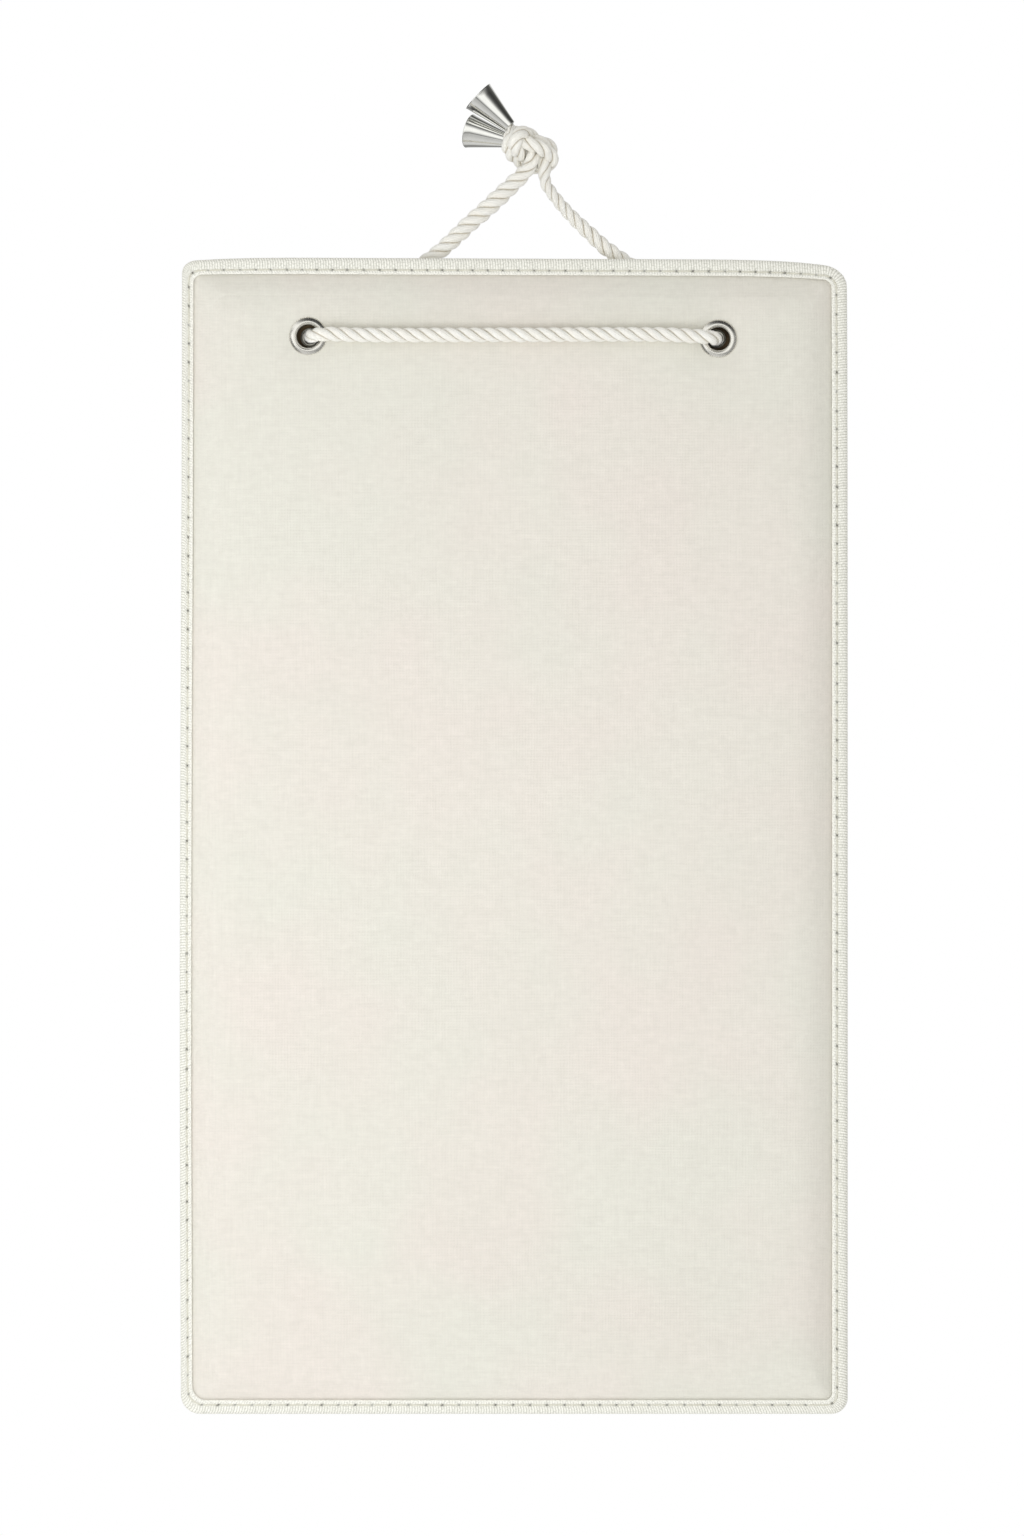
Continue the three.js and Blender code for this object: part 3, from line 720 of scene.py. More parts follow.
# ----------------------------------------------------------- board outlines
def warp(x, z):
    """The small unevenness of the sewn board: its top edge falls to the right
    and its left edge leans out towards the foot."""
    x = np.asarray(x, float)
    z = np.asarray(z, float)
    down = np.clip((BOARD_TOP - z) / (BOARD_TOP - BOARD_BOTTOM), 0, 1)
    lr = (x - BOARD_LEFT) / (BOARD_RIGHT - BOARD_LEFT)
    dz = (0.42 - 0.95 * lr) * (1 - down) ** 2
    dx = (1 - lr) * (0.2 - 0.75 * np.sin(down * 2.4) ** 2) + lr * (-0.35 * np.exp(-down * 12))
    near = np.exp(-np.clip(BOARD_TOP - z, 0, None) / 13.0)
    dz = dz - np.interp(x, [58, 66, 74, 82, 86, 90, 94, 98, 101, 104, 108], [0, 0.06, 0.2, 0.48, 0.7, 0.98, 1.36, 1.8, 2.12, 2.36, 2.5]) * near
    dz = dz - np.interp(x, [-128, -119, -111, -100, -86], [1.3, 1.05, 0.55, 0.18, 0]) * np.exp(-np.clip(BOARD_TOP - z, 0, None) / 4.5)
    return x + dx, z + dz


def ring(inset, radii, nc, nv, nh):
    """Points round the board, the same number for every inset."""
    x0, x1 = BOARD_LEFT + inset["l"], BOARD_RIGHT - inset["r"]
    z0, z1 = BOARD_BOTTOM + inset["b"], BOARD_TOP - inset["t"]
    corners = [(x1, z0, radii["br"], -90, -1, 1, nv), (x1, z1, radii["tr"], 0, -1, -1, nh),
               (x0, z1, radii["tl"], 90, 1, -1, nv), (x0, z0, radii["bl"], 180, 1, 1, nh)]
    arcs = []
    for x, z, r, start, sx, sz, n in corners:
        a = np.radians(start + 90 * np.arange(nc + 1) / nc)
        arcs.append((np.stack([x + sx * r + r * np.cos(a), z + sz * r + r * np.sin(a)], 1), n))
    pts = []
    for i, (arc, n) in enumerate(arcs):
        pts.append(arc)
        nxt = arcs[(i + 1) % 4][0][0]
        t = (np.arange(1, n) / n)[:, None]
        pts.append(arc[-1] * (1 - t) + nxt * t)
    p = np.vstack(pts)
    x, z = warp(p[:, 0], p[:, 1])
    return np.stack([x, z], 1)


def even(v):
    return {k: v for k in "lrtb"}


def plus(s, v):
    return {k: s[k] + v for k in "lrtb"}


def edge_radii(inset, floor=0.8):
    pair = {"tl": ("t", "l"), "tr": ("t", "r"), "br": ("b", "r"), "bl": ("b", "l")}
    keep = {"tl": 0.45, "tr": 0.95, "br": 0.6, "bl": 0.4}
    return {c: max(CORNER_R[c] - (inset[a] + inset[b]) / 2 * keep[c], floor) for c, (a, b) in pair.items()}


def grid_from(loop, nc, nv, nh):
    """A grid of points filling a loop made by ring(): (rows, columns, 2)."""
    n = len(loop)
    rows, cols = nv + nc, nh + nc
    start = nc // 2
    idx = (start + np.arange(n)) % n
    right = loop[idx[0:rows + 1]]
    top = loop[idx[rows:rows + cols + 1]]
    left = loop[idx[rows + cols:2 * rows + cols + 1]]
    bottom = loop[np.r_[idx[2 * rows + cols:], idx[0]]]
    left, top = left[::-1], top[::-1]
    u = np.linspace(0, 1, cols + 1)[None, :, None]
    v = np.linspace(0, 1, rows + 1)[:, None, None]
    # spread like the border's own spacing, so that cells stay even
    g = ((1 - u) * left[:, None] + u * right[:, None] + (1 - v) * bottom[None] + v * top[None]
         - ((1 - u) * (1 - v) * left[0] + u * (1 - v) * right[0] + (1 - u) * v * left[-1] + u * v * right[-1]))
    return g


class Skin:
    """Vertices and quads of a sheet: rings joined inwards, filled with a grid,
    with round holes that the grid runs up to."""

    def __init__(self, nc, nv, nh):
        self.size = (nc, nv, nh)
        self.verts, self.faces, self.count = [], [], 0

    def add(self, x, z, d):
        v = np.stack([x, Y_BACK - d, z], 1)
        ids = self.count + np.arange(len(v))
        self.verts.append(v)
        self.count += len(v)
        return ids

    def join(self, outer, inner, flip=False):
        a, b = outer, inner
        q = np.stack([a, np.roll(a, -1), np.roll(b, -1), b], 1)
        self.faces.append(q[:, ::-1] if flip else q)

    def rings(self, levels, lift):
        ids = []
        for inset, radii, d in levels:
            p = ring(inset, radii, *self.size)
            ids.append(self.add(p[:, 0], p[:, 1], d + lift(p[:, 0], p[:, 1], d)))
        for a, b in zip(ids[:-1], ids[1:]):
            self.join(a, b)
        return ids

    def fill(self, loop_ids, level, lift, holes, block, steps, turn=0.0, flip=False):
        nc, nv, nh = self.size
        inset, radii, d = level
        loop = ring(inset, radii, nc, nv, nh)
        n = len(loop)
        g = grid_from(loop, nc, nv, nh)
        rows, cols = g.shape[0] - 1, g.shape[1] - 1
        ids = -np.ones((rows + 1, cols + 1), int)
        idx = loop_ids[(nc // 2 + np.arange(n)) % n]
        ids[:, cols] = idx[0:rows + 1]
        ids[rows, :] = idx[rows:rows + cols + 1][::-1]
        ids[:, 0] = idx[rows + cols:2 * rows + cols + 1][::-1]
        ids[0, :] = np.r_[idx[2 * rows + cols:], idx[0]]
        inner = g[1:rows, 1:cols].reshape(-1, 2)
        new = self.add(inner[:, 0], inner[:, 1], d + lift(inner[:, 0], inner[:, 1], d))
        ids[1:rows, 1:cols] = new.reshape(rows - 1, cols - 1)
        keep = np.ones((rows, cols), bool)
        loops = []
        for x, z, r in holes:
            far = np.hypot(g[..., 0] - x, g[..., 1] - z)
            i, j = np.unravel_index(far.argmin(), far.shape)
            a, b, c, e = i - block, i + block, j - block, j + block
            keep[a:b, c:e] = False
            edge = np.r_[ids[a, c:e], ids[a:b, e], ids[b, e:c:-1], ids[b:a:-1, c]]
            pos = np.vstack([g[a, c:e], g[a:b, e], g[b, e:c:-1], g[b:a:-1, c]])
            ang = np.arctan2(pos[:, 1] - z, pos[:, 0] - x)
            rim = np.stack([x + r * np.cos(ang), z + r * np.sin(ang)], 1)
            prev = edge
            for k in range(1, steps + 1):
                s = k / steps
                s = 1 - (1 - s) ** 1.25
                q = pos * (1 - s) + rim * s
                dd = d + lift(q[:, 0], q[:, 1], d) + turn * max(0, (s - 0.9) / 0.1) ** 2
                cur = self.add(q[:, 0], q[:, 1], dd)
                self.join(prev, cur, flip)
                prev = cur
            loops.append((prev, rim))
        q = np.stack([ids[:-1, :-1], ids[:-1, 1:], ids[1:, 1:], ids[1:, :-1]], 2)[keep]
        self.faces.append(q[:, ::-1] if flip else q)
        return loops

    def object(self, name, material, flip=False, thickness=0):
        verts = np.vstack(self.verts)
        faces = np.vstack(self.faces)
        used = np.zeros(len(verts), bool)
        used[faces.ravel()] = True
        faces = (np.cumsum(used) - 1)[faces]
        if flip:
            faces = faces[:, ::-1]
        o = mesh_object(name, verts[used], faces)
        o.data.materials.append(material)
        if thickness:
            s = o.modifiers.new("cloth", "SOLIDIFY")
            s.thickness = thickness * MM
            s.offset = -1.0
        return o


# --------------------------------------------------------------- face cloth
FACE = [(-3.1, 3.4), (-1.6, 3.55), (0.2, 3.96), (0.6, 4.24), (1.05, 4.58), (1.5, 4.91), (1.95, 5.2), (2.4, 5.49), (3.0, 5.86),
        (3.7, 6.28), (4.6, 6.79), (5.6, 7.3), (6.8, 7.81), (8.2, 8.28), (9.8, 8.68), (11.6, 8.99), (14.0, 9.23), (17.0, 9.39),
        (21.0, 9.47), (26.0, 9.49)]


def round_radii(inset, offset):
    r = edge_radii(inset, 0.8)
    return {k: v + max(offset, 0) * 0.42 for k, v in r.items()}


def dimple(x, z, d, deep=1.0):
    out = np.zeros_like(x)
    for ex, ez in EYELETS.values():
        r = np.hypot(x - ex, z - ez)
        out -= deep * spline([1.0, 1.0, 0.74, 0.44, 0.17, 0.0, 0.0], [0, 6.5, 8.2, 10.5, 14, 19, 400], np.clip(r, 0, 399))
    return out


def undulate(x, z):
    """Slow unevenness of foam and cloth."""
    r = 0.10 * np.sin(x / 31 + 0.7) * np.sin(z / 43 + 1.1) + 0.06 * np.sin(x / 17 - z / 26) + 0.035 * np.sin(x / 9.5 + z / 13 + 2)
    return r


def rim_near(x, z):
    """Distance in from the tape, roughly."""
    return np.minimum.reduce([x - (BOARD_LEFT + TAPE_FRONT["l"]), (BOARD_RIGHT - TAPE_FRONT["r"]) - x,
                              z - (BOARD_BOTTOM + TAPE_FRONT["b"]), (BOARD_TOP - TAPE_FRONT["t"]) - z])


def further_in(x, z, profile, start):
    """What a pillow's height gains inside the last ring of its edge."""
    sides = np.stack([x - (BOARD_LEFT + TAPE_FRONT["l"]), (BOARD_RIGHT - TAPE_FRONT["r"]) - x,
                      z - (BOARD_BOTTOM + TAPE_FRONT["b"]), (BOARD_TOP - TAPE_FRONT["t"]) - z])
    t = -np.log(np.exp(-0.4 * np.clip(sides, 0, 60)).sum(0)) / 0.4
    offs = [o for o, _ in profile] + [400.0]
    deps = [d for _, d in profile] + [profile[-1][1]]
    base = dict(profile)[start]
    return np.maximum(spline(deps, offs, np.clip(t, start, 399)) - base, 0)


def face_lift(x, z, d):
    t = rim_near(x, z)
    inside = np.clip((t - 3) / 12, 0, 1)
    # small pulls at the seam fade out over the pillow
    s = np.where((t - (x - (BOARD_LEFT + TAPE_FRONT["l"])) > -1e-6) | (t - ((BOARD_RIGHT - TAPE_FRONT["r"]) - x) > -1e-6), z, x)
    band = np.clip(t / 2.5, 0, 1) * np.exp(-np.clip(t, 0, None) / 6.5)
    pulls = 0.16 * wander(s + 300, 7.5, 3) + 0.10 * np.sin(s / 0.95)
    return undulate(x, z) * inside + pulls * band + dimple(x, z, d)


skin = Skin(12, 300, 168)
EDGE = 6.8
levels = [(plus(TAPE_FRONT, o), round_radii(plus(TAPE_FRONT, o), o), d) for o, d in FACE if o <= EDGE]
last = skin.rings(levels, face_lift)[-1]
skin.fill(last, levels[-1], lambda x, z, d: face_lift(x, z, d) + further_in(x, z, FACE, EDGE),
          [(x, z, 4.9) for x, z in EYELETS.values()], 10, 16)
face = skin.object("face_cloth", MAT["canvas"], thickness=0.5)
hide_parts("front_cover")
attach(face, "board")

# back cloth
BACK = [(-3.6, 2.5), (-1.6, 2.4), (0.4, 2.25), (1.0, 1.9), (1.6, 1.45), (2.2, 0.95), (2.9, 0.5), (3.4, 0.24), (4.0, 0.08), (5.2, 0.0)]
levels = [(plus(TAPE_BACK, o), round_radii(plus(TAPE_BACK, o), o), d) for o, d in BACK]


def back_lift(x, z, d):
    t = np.minimum.reduce([x - BOARD_LEFT, BOARD_RIGHT - x, z - BOARD_BOTTOM, BOARD_TOP - z]) - 4.6
    return 0.05 * undulate(x, z) / 0.15 * np.clip((t - 5) / 12, 0, 1) + 0.04 * wander(x + z + 700, 9, 5) * np.exp(-np.clip(t, 0, None) / 7)


skin = Skin(8, 130, 76)
last = skin.rings(levels, back_lift)[-1]
skin.fill(last, levels[-1], back_lift, [(x, z, HOLE_R) for x, z in HOLE_AT.values()], 5, 14, turn=0.3)
back = skin.object("back_cloth", MAT["lining"], flip=True, thickness=0.45)
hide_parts("back_cover")
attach(back, "board")

# foam, a little under the face cloth
FOAM = [(3.05, 3.2), (3.1, 4.2), (3.3, 4.85), (4.5, 5.95), (6.3, 6.85), (8.8, 7.65), (12.0, 8.25), (17.0, 8.64), (26.0, 8.75)]
levels = [(plus(TAPE_FRONT, o), round_radii(plus(TAPE_FRONT, o), o), d) for o, d in FOAM if o <= 6.3]


def foam_lift(x, z, d):
    return undulate(x, z) * (0.8 if d > 8 else 0) + dimple(x, z, d) * (1 if d > 5 else 0)   # none at its back


skin = Skin(8, 110, 64)
ids = skin.rings(levels, foam_lift)
tops = skin.fill(ids[-1], levels[-1], lambda x, z, d: foam_lift(x, z, 9) + further_in(x, z, FOAM, 6.3), [(x, z, 4.75) for x, z in EYELETS.values()], 4, 8)
flat_lift = lambda x, z, d: 0 * x
lows = skin.fill(ids[0], levels[0], flat_lift, [(x, z, 7.1) for x, z in EYELETS.values()], 4, 4, flip=True)
for (top, rim), (low, wide), (x, z) in zip(tops, lows, EYELETS.values()):
    wall = skin.add(wide[:, 0], wide[:, 1], np.full(len(wide), 4.8))
    skin.join(low, wall, flip=True)
    ledge = skin.add(*(np.array([x, z]) + (wide - [x, z]) * 4.75 / 7.1).T, np.full(len(wide), 4.8))
    skin.join(wall, ledge, flip=True)
    skin.join(top, ledge)
foam = skin.object("foam_layer", MAT["foam"])
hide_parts("foam_pad")
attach(foam, "board")

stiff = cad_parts["stiffener_board"]
stiff.data.materials.clear()
stiff.data.materials.append(MAT["fibreboard"])

# ---------------------------------------------------------- grosgrain tape
PER_RIB = 4
NVT, NHT, NCT = 412 * PER_RIB, 236 * PER_RIB, 10 * PER_RIB


def tape_section():
    """(inset as a function of the side, depth, rib strength) from the front
    inner edge, round the outside, to the back inner edge, and back inside."""
    pts = []

    def f(frac_side, d, rib):
        pts.append((frac_side, d, rib))

    side = ("l", "r", "t", "b")
    F, B, SF, SB = TAPE_FRONT, TAPE_BACK, SEAM_FRONT, SEAM_BACK
    f({k: F[k] - 0.02 for k in side}, 4.22, 0.1)
    f({k: F[k] for k in side}, 4.42, 0.15)
    f({k: F[k] - 0.1 for k in side}, 4.62, 0.25)
    f({k: F[k] - 0.35 for k in side}, 4.74, 0.45)
    f({k: (F[k] - 0.35) * 0.45 + (SF[k] + 0.55) * 0.55 for k in side}, 4.78, 0.7)
    f({k: SF[k] + 0.5 for k in side}, 4.66, 0.75)
    f({k: SF[k] + 0.24 for k in side}, 4.5, 0.6)
    f({k: SF[k] for k in side}, 4.42, 0.5)
    f({k: SF[k] - 0.24 for k in side}, 4.48, 0.6)
    f({k: SF[k] - 0.5 for k in side}, 4.6, 0.85)
    f({k: SF[k] * 0.5 + 0.45 for k in side}, 4.62, 1.0)
    for a, d in ((1.2, 4.46), (0.78, 4.25), (0.45, 3.98), (0.22, 3.68), (0.08, 3.36), (0.02, 3.06), (0.02, 2.76),
                 (0.08, 2.4), (0.22, 2.02), (0.45, 1.73), (0.75, 1.52), (1.15, 1.38)):
        f(even(a), d, 1.0)
    f(even(1.9), 1.34, 1.0)
    f(even(2.6), 1.42, 0.85)
    f(even(3.0), 1.56, 0.5)
    f(even(3.4), 1.42, 0.8)
    f(even(4.1), 1.32, 0.5)
    f(even(4.5), 1.38, 0.25)
    f(even(4.6), 1.55, 0.1)
    f(even(4.56), 1.9, 0.0)
    for a, d in ((2.5, 1.95), (1.3, 1.97), (0.75, 2.25), (0.62, 3.0), (0.75, 3.78), (1.3, 4.05)):
        f(even(a), d, 0.0)
    return pts


section = tape_section()
ns = len(section)
rings_xz, deps, ribs = [], [], []
for inset, d, rib in section:
    rings_xz.append(ring(inset, edge_radii(inset, 0.55), NCT, NVT, NHT))
    deps.append(d)
    ribs.append(rib)
rings_xz = np.array(rings_xz)                       # section, along, xz
NT = rings_xz.shape[1]
P = np.zeros((ns, NT, 3))
P[..., 0] = rings_xz[..., 0]
P[..., 2] = rings_xz[..., 1]
P[..., 1] = Y_BACK - np.array(deps)[:, None]
# outward direction across the tape
dS = np.roll(P, -1, axis=0) - np.roll(P, 1, axis=0)
dA = np.roll(P, -1, axis=1) - np.roll(P, 1, axis=1)
N = np.cross(dA, dS)
N /= np.maximum(np.linalg.norm(N, axis=2), 1e-9)[..., None]
centre_xz = P.mean(0)
if (N[7] * np.array([0, -1.0, 0])).sum(1).mean() < 0:
    N = -N
phase = np.arange(NT) % PER_RIB / PER_RIB
rib_wave = 0.5 - 0.5 * np.cos(2 * math.pi * phase)
rib_id = np.arange(NT) // PER_RIB
amp = 0.15 * (1 + 0.25 * rng.uniform(-1, 1, rib_id.max() + 1))[rib_id]
P += N * (np.array(ribs)[:, None] * (rib_wave * amp)[None])[..., None]
# length along the seam line, for stitches and shading
seam_ring = ring(SEAM_FRONT, edge_radii(SEAM_FRONT, 0.55), NCT, NVT, NHT)
closed = np.vstack([seam_ring, seam_ring[:1]])
seam_s = np.r_[0, np.cumsum(np.linalg.norm(np.diff(closed, axis=0), axis=1))]
seam_len = seam_s[-1]
back_ring = ring(SEAM_BACK, edge_radii(SEAM_BACK, 0.55), NCT, NVT, NHT)
back_closed = np.vstack([back_ring, back_ring[:1]])
back_s = np.r_[0, np.cumsum(np.linalg.norm(np.diff(back_closed, axis=0), axis=1))]


def pitch_at(x, z):
    if z > BOARD_TOP - 9:
        return 5.35
    if z < BOARD_BOTTOM + 9:
        return 5.98
    return 6.62


holes = []
s = 2.0
while s < seam_len - 3.0:
    x = np.interp(s, seam_s, closed[:, 0])
    z = np.interp(s, seam_s, closed[:, 1])
    holes.append(s)
    s += pitch_at(x, z) * (1 + 0.07 * rng.uniform(-1, 1))
holes = np.array(holes)
hole_xz = np.stack([np.interp(holes, seam_s, closed[:, 0]), np.interp(holes, seam_s, closed[:, 1])], 1)
# needle holes: little pits along the seam line; the same values paint shade into the tape's colour there
hole_val = np.zeros((ns, NT))
along_s = seam_s[:-1]
hole_strength = 0.95 + 0.35 * rng.uniform(-1, 1, len(holes))
for h, hs in zip(holes, hole_strength):
    ds = np.abs(along_s - h)
    near = np.nonzero(ds < 1.6)[0]
    for k in range(3, 12):
        off_ = np.linalg.norm(P[k, near][:, [0, 2]] - np.array([np.interp(along_s[near], seam_s, closed[:, 0]), np.interp(along_s[near], seam_s, closed[:, 1])]).T, axis=1)
        v = np.exp(-(ds[near] / 0.72) ** 2 - (off_ / 0.36) ** 2) * hs
        hole_val[k, near] = np.maximum(hole_val[k, near], v)
        P[k, near, 1] += 0.32 * v
# the inner edge of the tape wanders a little in depth
edge_w = 0.10 * wander(along_s, 11, 12) + 0.05 * np.sin(2 * math.pi * along_s / 6.3)
for k, wgt in ((0, 1), (1, 1), (2, 1), (3, 0.8), (4, 0.4)):
    P[k, :, 1] -= (0.05 * wander(along_s, 8, 15)) * wgt
verts = P.transpose(1, 0, 2).reshape(-1, 3)         # along, section
idx = np.arange(NT * ns).reshape(NT, ns)
ia, ib = idx, np.roll(idx, -1, axis=0)
ja, jb = np.roll(ia, -1, axis=1), np.roll(ib, -1, axis=1)
q = np.stack([ia, ja, jb, ib], 2).reshape(-1, 4)
sec_len = np.r_[0, np.cumsum(np.linalg.norm(np.diff(P[:, 0], axis=0), axis=1))]
sec_len = np.r_[sec_len, sec_len[-1] + 0.3]
aa = np.r_[along_s, seam_len]
uv = np.zeros((NT, ns, 4, 2), np.float32)
uv[..., 0, 0] = aa[:-1, None]; uv[..., 1, 0] = aa[:-1, None]; uv[..., 2, 0] = aa[1:, None]; uv[..., 3, 0] = aa[1:, None]
uv[..., 0, 1] = sec_len[None, :-1]; uv[..., 1, 1] = sec_len[None, 1:]; uv[..., 2, 1] = sec_len[None, 1:]; uv[..., 3, 1] = sec_len[None, :-1]
# outward winding
v0, v1, v2 = verts[q[8 * 1 + 7, 0]], verts[q[8 * 1 + 7, 1]], verts[q[8 * 1 + 7, 2]]
tape_vol = 0.0
A_, B_, C_, D_ = (verts[q[:, i]] for i in range(4))
tape_vol = (np.einsum("ij,ij->i", A_, np.cross(B_, C_)) + np.einsum("ij,ij->i", A_, np.cross(C_, D_))).sum() / 6
uvf = uv.reshape(-1, 4, 2)
if tape_vol < 0:
    q = q[:, ::-1]
    uvf = uvf[:, ::-1]
# rib: low in the grooves between the ribs, where the tape material paints shade
rib_attr = (rib_wave[:, None] * np.ones((1, ns)) * np.array(ribs)[None] + (1 - np.array(ribs))[None] * 0.8)
tape = mesh_object("edge_tape", verts, q, uvf.reshape(-1, 2), True,
                   {"rib": rib_attr.ravel(), "needle_hole_shade": np.clip(hole_val.T, 0, 1).ravel()})
tape.data.materials.append(MAT["tape"])
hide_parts("edge_binding")
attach(tape, "board")


# ------------------------------------------------------------------ stitches
def stitches(name, ring_closed, ring_s, places, depth, low, out_sign, material):
    """One short thread for each stitch, diving into its holes at both ends."""
    verts, faces, uvs = [], [], []
    sides = 8
    r = 0.21
    base = 0
    total = ring_s[-1]
    ends = np.r_[places[1:], places[0] + total]
    for a, b in zip(places, ends):
        length = b - a
        t = np.array([0.0, 0.05, 0.12, 0.22, 0.36, 0.5, 0.64, 0.78, 0.88, 0.95, 1.0])
        sp = (a + 0.28 + (length - 0.56) * t) % total
        x = np.interp(sp, ring_s, ring_closed[:, 0])
        z = np.interp(sp, ring_s, ring_closed[:, 1])
        up = np.array([0, 0.35, 0.72, 0.95, 1, 1, 1, 0.95, 0.72, 0.35, 0])
        d = low + (depth - low) * up
        side_shift = 0.05 * rng.uniform(-1, 1) + np.linspace(-0.07, 0.07, len(t)) * out_sign
        tx, tz = np.gradient(x), np.gradient(z)
        ln = np.hypot(tx, tz)
        tx, tz = tx / ln, tz / ln
        x = x - tz * side_shift
        z = z + tx * side_shift
        c = np.stack([x, Y_BACK - d, z], 1)
        tg = np.gradient(c, axis=0)
        tg /= np.linalg.norm(tg, axis=1)[:, None]
        e1 = np.stack([-tz, np.zeros_like(tz), tx], 1)
        e2 = np.cross(tg, e1)
        e2 /= np.linalg.norm(e2, axis=1)[:, None]
        ang = np.linspace(0, 2 * math.pi, sides, endpoint=False)
        rr = r * (1 - 0.25 * (1 - up))
        p = c[:, None] + rr[:, None, None] * (np.cos(ang)[None, :, None] * e1[:, None] * 1.1 + np.sin(ang)[None, :, None] * e2[:, None] * 0.85)
        n = len(t)
        verts.append(p.reshape(-1, 3))
        ids = base + np.arange(n * sides).reshape(n, sides)
        nx = np.roll(ids, -1, axis=1)
        faces += np.stack([ids[:-1], nx[:-1], nx[1:], ids[1:]], 2).reshape(-1, 4).tolist()
        u = np.zeros((n - 1, sides, 4, 2), np.float32)
        u0 = np.arange(sides) / sides
        u[..., 0, 0] = u0; u[..., 1, 0] = u0 + 1 / sides; u[..., 2, 0] = u0 + 1 / sides; u[..., 3, 0] = u0
        sv = (length * t)
        u[..., 0, 1] = sv[:-1, None]; u[..., 1, 1] = sv[:-1, None]; u[..., 2, 1] = sv[1:, None]; u[..., 3, 1] = sv[1:, None]
        uvs.append(u.reshape(-1, 2))
        faces.append(ids[0][::-1].tolist())
        faces.append(ids[-1].tolist())
        uvs.append(np.zeros((2 * sides, 2)))
        base += n * sides
    v = np.vstack(verts)
    # outward winding, from one stitch
    if volume(v[:11 * sides], [f for f in faces[:10 * sides]] + [faces[10 * sides], faces[10 * sides + 1]]) < 0:
        faces = [f[::-1] for f in faces]
        uvs = [u_.reshape(-1, 4, 2)[:, ::-1].reshape(-1, 2) if len(u_) != 2 * sides else u_ for u_ in uvs]
    o = mesh_object(name, v, faces, np.vstack(uvs))
    o.data.materials.append(material)
    return o


needle = stitches("needle_stitches", closed, seam_s, holes, 4.66, 4.15, 1, MAT["thread"])
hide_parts("needle_thread")
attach(needle, "board")
hole_back = holes / seam_len * back_s[-1]
bobbin = stitches("bobbin_stitches", back_closed, back_s, hole_back, 1.38, 1.85, -1, MAT["thread"])
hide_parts("bobbin_thread")
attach(bobbin, "board")

# ------------------------------------------------------------------- eyelets
for side, (ex, ez) in EYELETS.items():
    prof = [(3.95, 3.64), (3.95, 4.5), (3.95, 6), (3.95, 7.4), (3.95, 8.6)]
    prof += [(3.98, 8.8), (4.06, 8.96), (4.18, 9.12), (4.36, 9.28), (4.6, 9.42), (4.85, 9.5), (5.08, 9.52), (5.3, 9.46), (5.55, 9.34),
             (5.82, 9.18), (6.08, 9.0), (6.32, 8.8), (6.52, 8.58), (6.65, 8.38), (6.6, 8.3), (6.5, 8.32), (6.35, 8.5), (6.05, 8.68), (5.5, 8.8), (4.7, 8.78)]
    prof += [(4.4, 8.6), (4.3, 8.3), (4.3, 6), (4.3, 3.98), (4.38, 3.8), (4.6, 3.74), (4.9, 3.76), (5.08, 3.72), (5.14, 3.6),
             (5.08, 3.47), (4.9, 3.39), (4.6, 3.34), (4.3, 3.36), (4.08, 3.45)]
    ey = lathe(f"{side}_eyelet_ring", [(r, d) for r, d in prof], (0, -1, 0), (ex, Y_BACK, ez), 96, MAT["nickel"])
    ey.data.materials.append(MAT["barrel"])
    # painted shade: the faces inside the bore get the dark barrel metal
    for poly in ey.data.polygons:
        c = poly.center
        if math.hypot(c.x / MM - ex, c.z / MM - ez) < 4.25 and Y_BACK - c.y / MM < 8.75:
            poly.material_index = 1
    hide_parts(f"{side}_eyelet")
    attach(ey, "board")
    wash = [(4.62, 4.46), (5.4, 4.48), (6.3, 4.48), (6.62, 4.44), (6.76, 4.32), (6.74, 4.16), (6.58, 4.06), (6.2, 4.0), (5.4, 4.0), (4.72, 4.04), (4.62, 4.12)]
    wa = lathe(f"{side}_eyelet_washer", wash, (0, -1, 0), (ex, Y_BACK, ez), 96, MAT["nickel"])
    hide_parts(f"{side}_washer")
    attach(wa, "board")

# ------------------------------------------------------------ light and stage
scene.view_settings.view_transform = "Standard"
scene.view_settings.look = "None"
world = bpy.data.worlds.new("studio")
scene.world = world
world.use_nodes = True
wt = world.node_tree
wt.nodes.clear()
g = Graph(wt)
path = g.node("ShaderNodeLightPath")
coord = g.node("ShaderNodeTexCoord")
dirs = g.split(coord.outputs["Generated"])


def ramp(values, at):
    """Grey steps against a number between -1.5 and 1.5."""
    n = g.node("ShaderNodeValToRGB")
    g.put(n.inputs[0], g.map(at, -1.5, 1.5, 0, 1))
    cr = n.color_ramp
    first, *rest = [((k + 1.5) / 3, v) for k, v in values]
    cr.elements[0].position, cr.elements[0].color = first[0], (first[1],) * 3 + (1,)
    cr.elements[1].position, cr.elements[1].color = rest[-1][0], (rest[-1][1],) * 3 + (1,)
    for pos, val in rest[:-1]:
        cr.elements.new(pos).color = (val, val, val * 0.985, 1)
    return n.outputs[0]


# What polished metal sees: a white room that gets dark towards the upper
# right, and a grey lower left behind a thin dark line.
def towards(x, y, z):
    return g.math("MULTIPLY_ADD", dirs[0], x, g.math("MULTIPLY_ADD", dirs[1], y, g.math("MULTIPLY", dirs[2], z)))


dark_side = ramp([(-1.5, 1.12), (0.31, 1.12), (0.45, 0.74), (0.58, 0.3), (0.7, 0.1), (0.82, 0.04), (0.97, 0.02), (1.5, 0.02)], towards(0.38, 0, 0.925))
dark_side = g.mix(g.map(dirs[1], 0.25, 0.7, 0, 0.85), dark_side, (0.66, 0.66, 0.65, 1))
grey_side = ramp([(-1.0, 0.66), (-0.8, 0.62), (-0.6, 0.5), (-0.42, 0.46), (-0.35, 0.24), (-0.3, 0.2), (-0.24, 0.55), (-0.05, 1.0), (1.5, 1.0)], towards(0.62, 0, 0.786))
glossy = g.mix(1.0, dark_side, grey_side, "MULTIPLY")
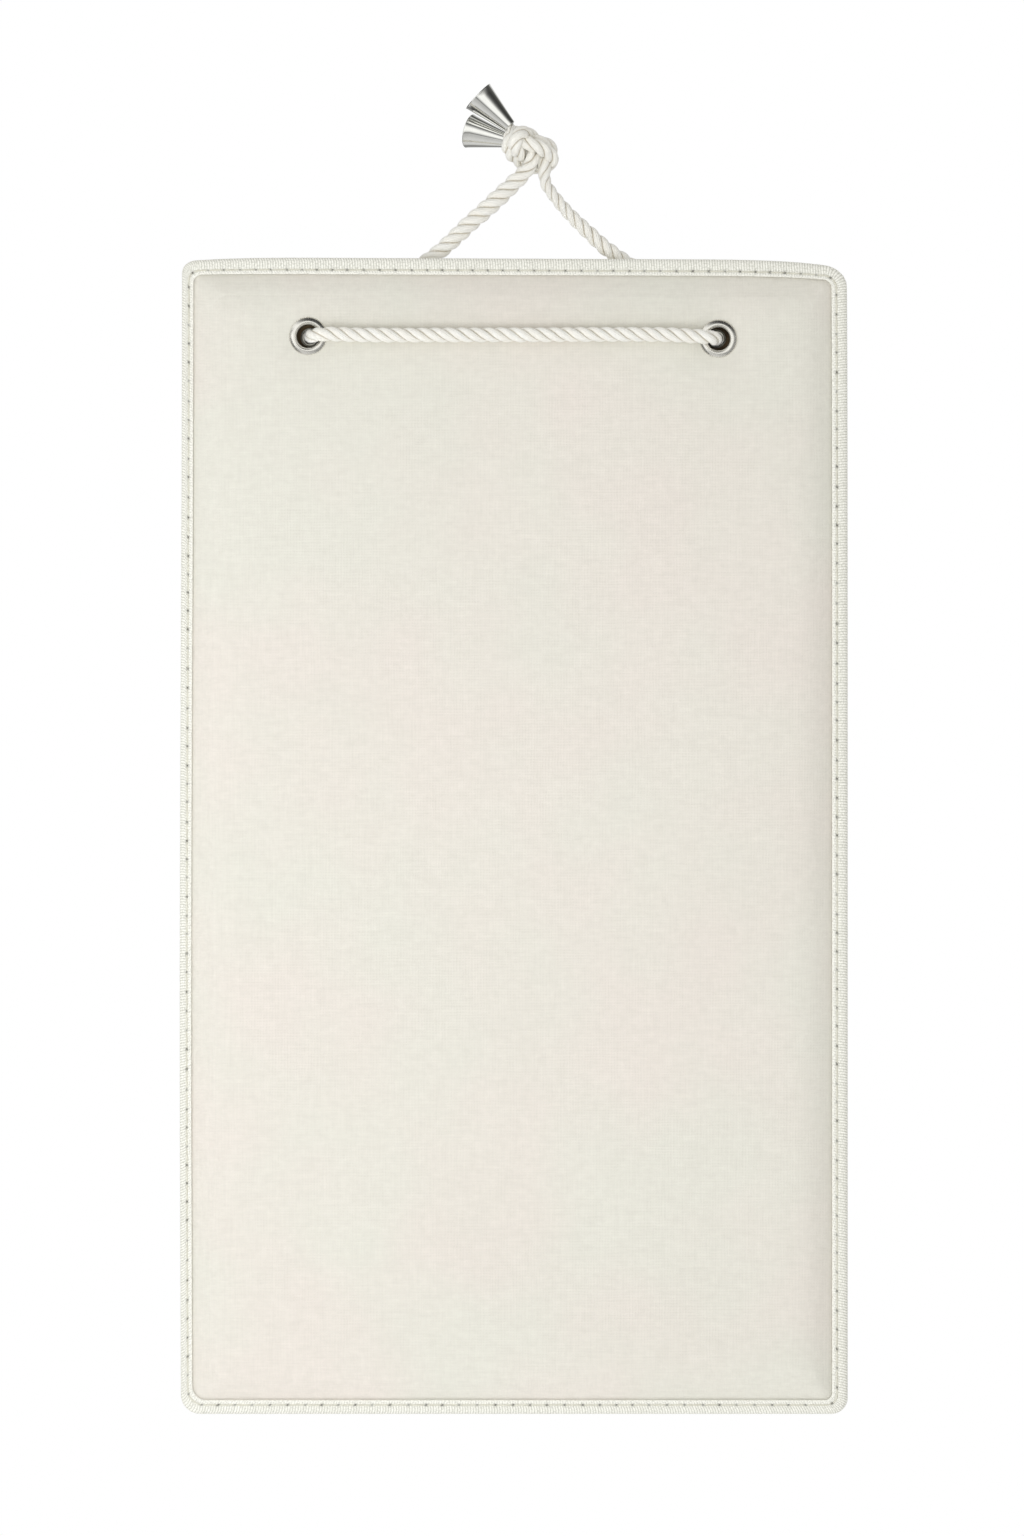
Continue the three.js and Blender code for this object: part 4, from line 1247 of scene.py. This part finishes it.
# a softbox at the lower left
glossy = g.mix(g.map(towards(-0.74, -0.65, -0.17), 0.87, 0.92, 0, 1), glossy, (1.3, 1.3, 1.27, 1))
# something dark beyond it, and a dark right-hand side
glossy = g.mix(g.map(towards(-0.855, 0.1, -0.505), 0.74, 0.82, 0, 0.93), glossy, (0.05, 0.05, 0.045, 1))
glossy = g.mix(g.map(towards(0.9, -0.25, -0.36), 0.72, 0.9, 0, 0.85), glossy, (0.16, 0.16, 0.15, 1))
# the sides behind the object are dark too
behind = g.math("MULTIPLY", g.map(dirs[1], -0.05, 0.15, 0, 0.85), g.map(dirs[1], 0.6, 0.8, 1, 0))
behind = g.math("MULTIPLY", behind, g.map(dirs[2], -0.88, -0.75, 0, 1))
glossy = g.mix(behind, glossy, (0.07, 0.07, 0.065, 1))
diffuse = (0.745, 0.745, 0.745, 1)
seen = g.mix(path.outputs["Is Glossy Ray"], diffuse, glossy)
seen = g.mix(path.outputs["Is Camera Ray"], seen, (1, 1, 1, 1))
bg = g.node("ShaderNodeBackground")
g.put(bg.inputs["Color"], seen)
out = g.node("ShaderNodeOutputWorld")
wt.links.new(bg.outputs[0], out.inputs[0])


def area(name, loc, target, size, power, colour=(1, 1, 1)):
    d = bpy.data.lights.new(name, "AREA")
    d.shape = "RECTANGLE"
    d.size, d.size_y = size
    d.energy = power
    d.color = colour
    o = bpy.data.objects.new(name, d)
    scene.collection.objects.link(o)
    o.location = loc
    v = np.array(target, float) - np.array(loc, float)
    from mathutils import Vector
    o.rotation_euler = Vector(v).to_track_quat("-Z", "Y").to_euler()
    o.visible_glossy = False
    return o


area("key", (-0.5, -0.8, -0.4), (-0.01, 0, -0.25), (0.6, 0.6), 1.42, (0.95, 0.965, 1.0))
area("glow", (-0.26, -0.55, -0.25), (-0.01, 0, -0.25), (0.3, 0.3), 0.9, (0.95, 0.965, 1.0))
area("low", (-0.1, -0.3, -1.4), (-0.01, 0, -0.43), (0.7, 0.4), 1.9, (0.95, 0.965, 1.0))
area("fill", (0.9, -2.0, 0.6), (0, 0, -0.2), (1.2, 1.2), 1.75)
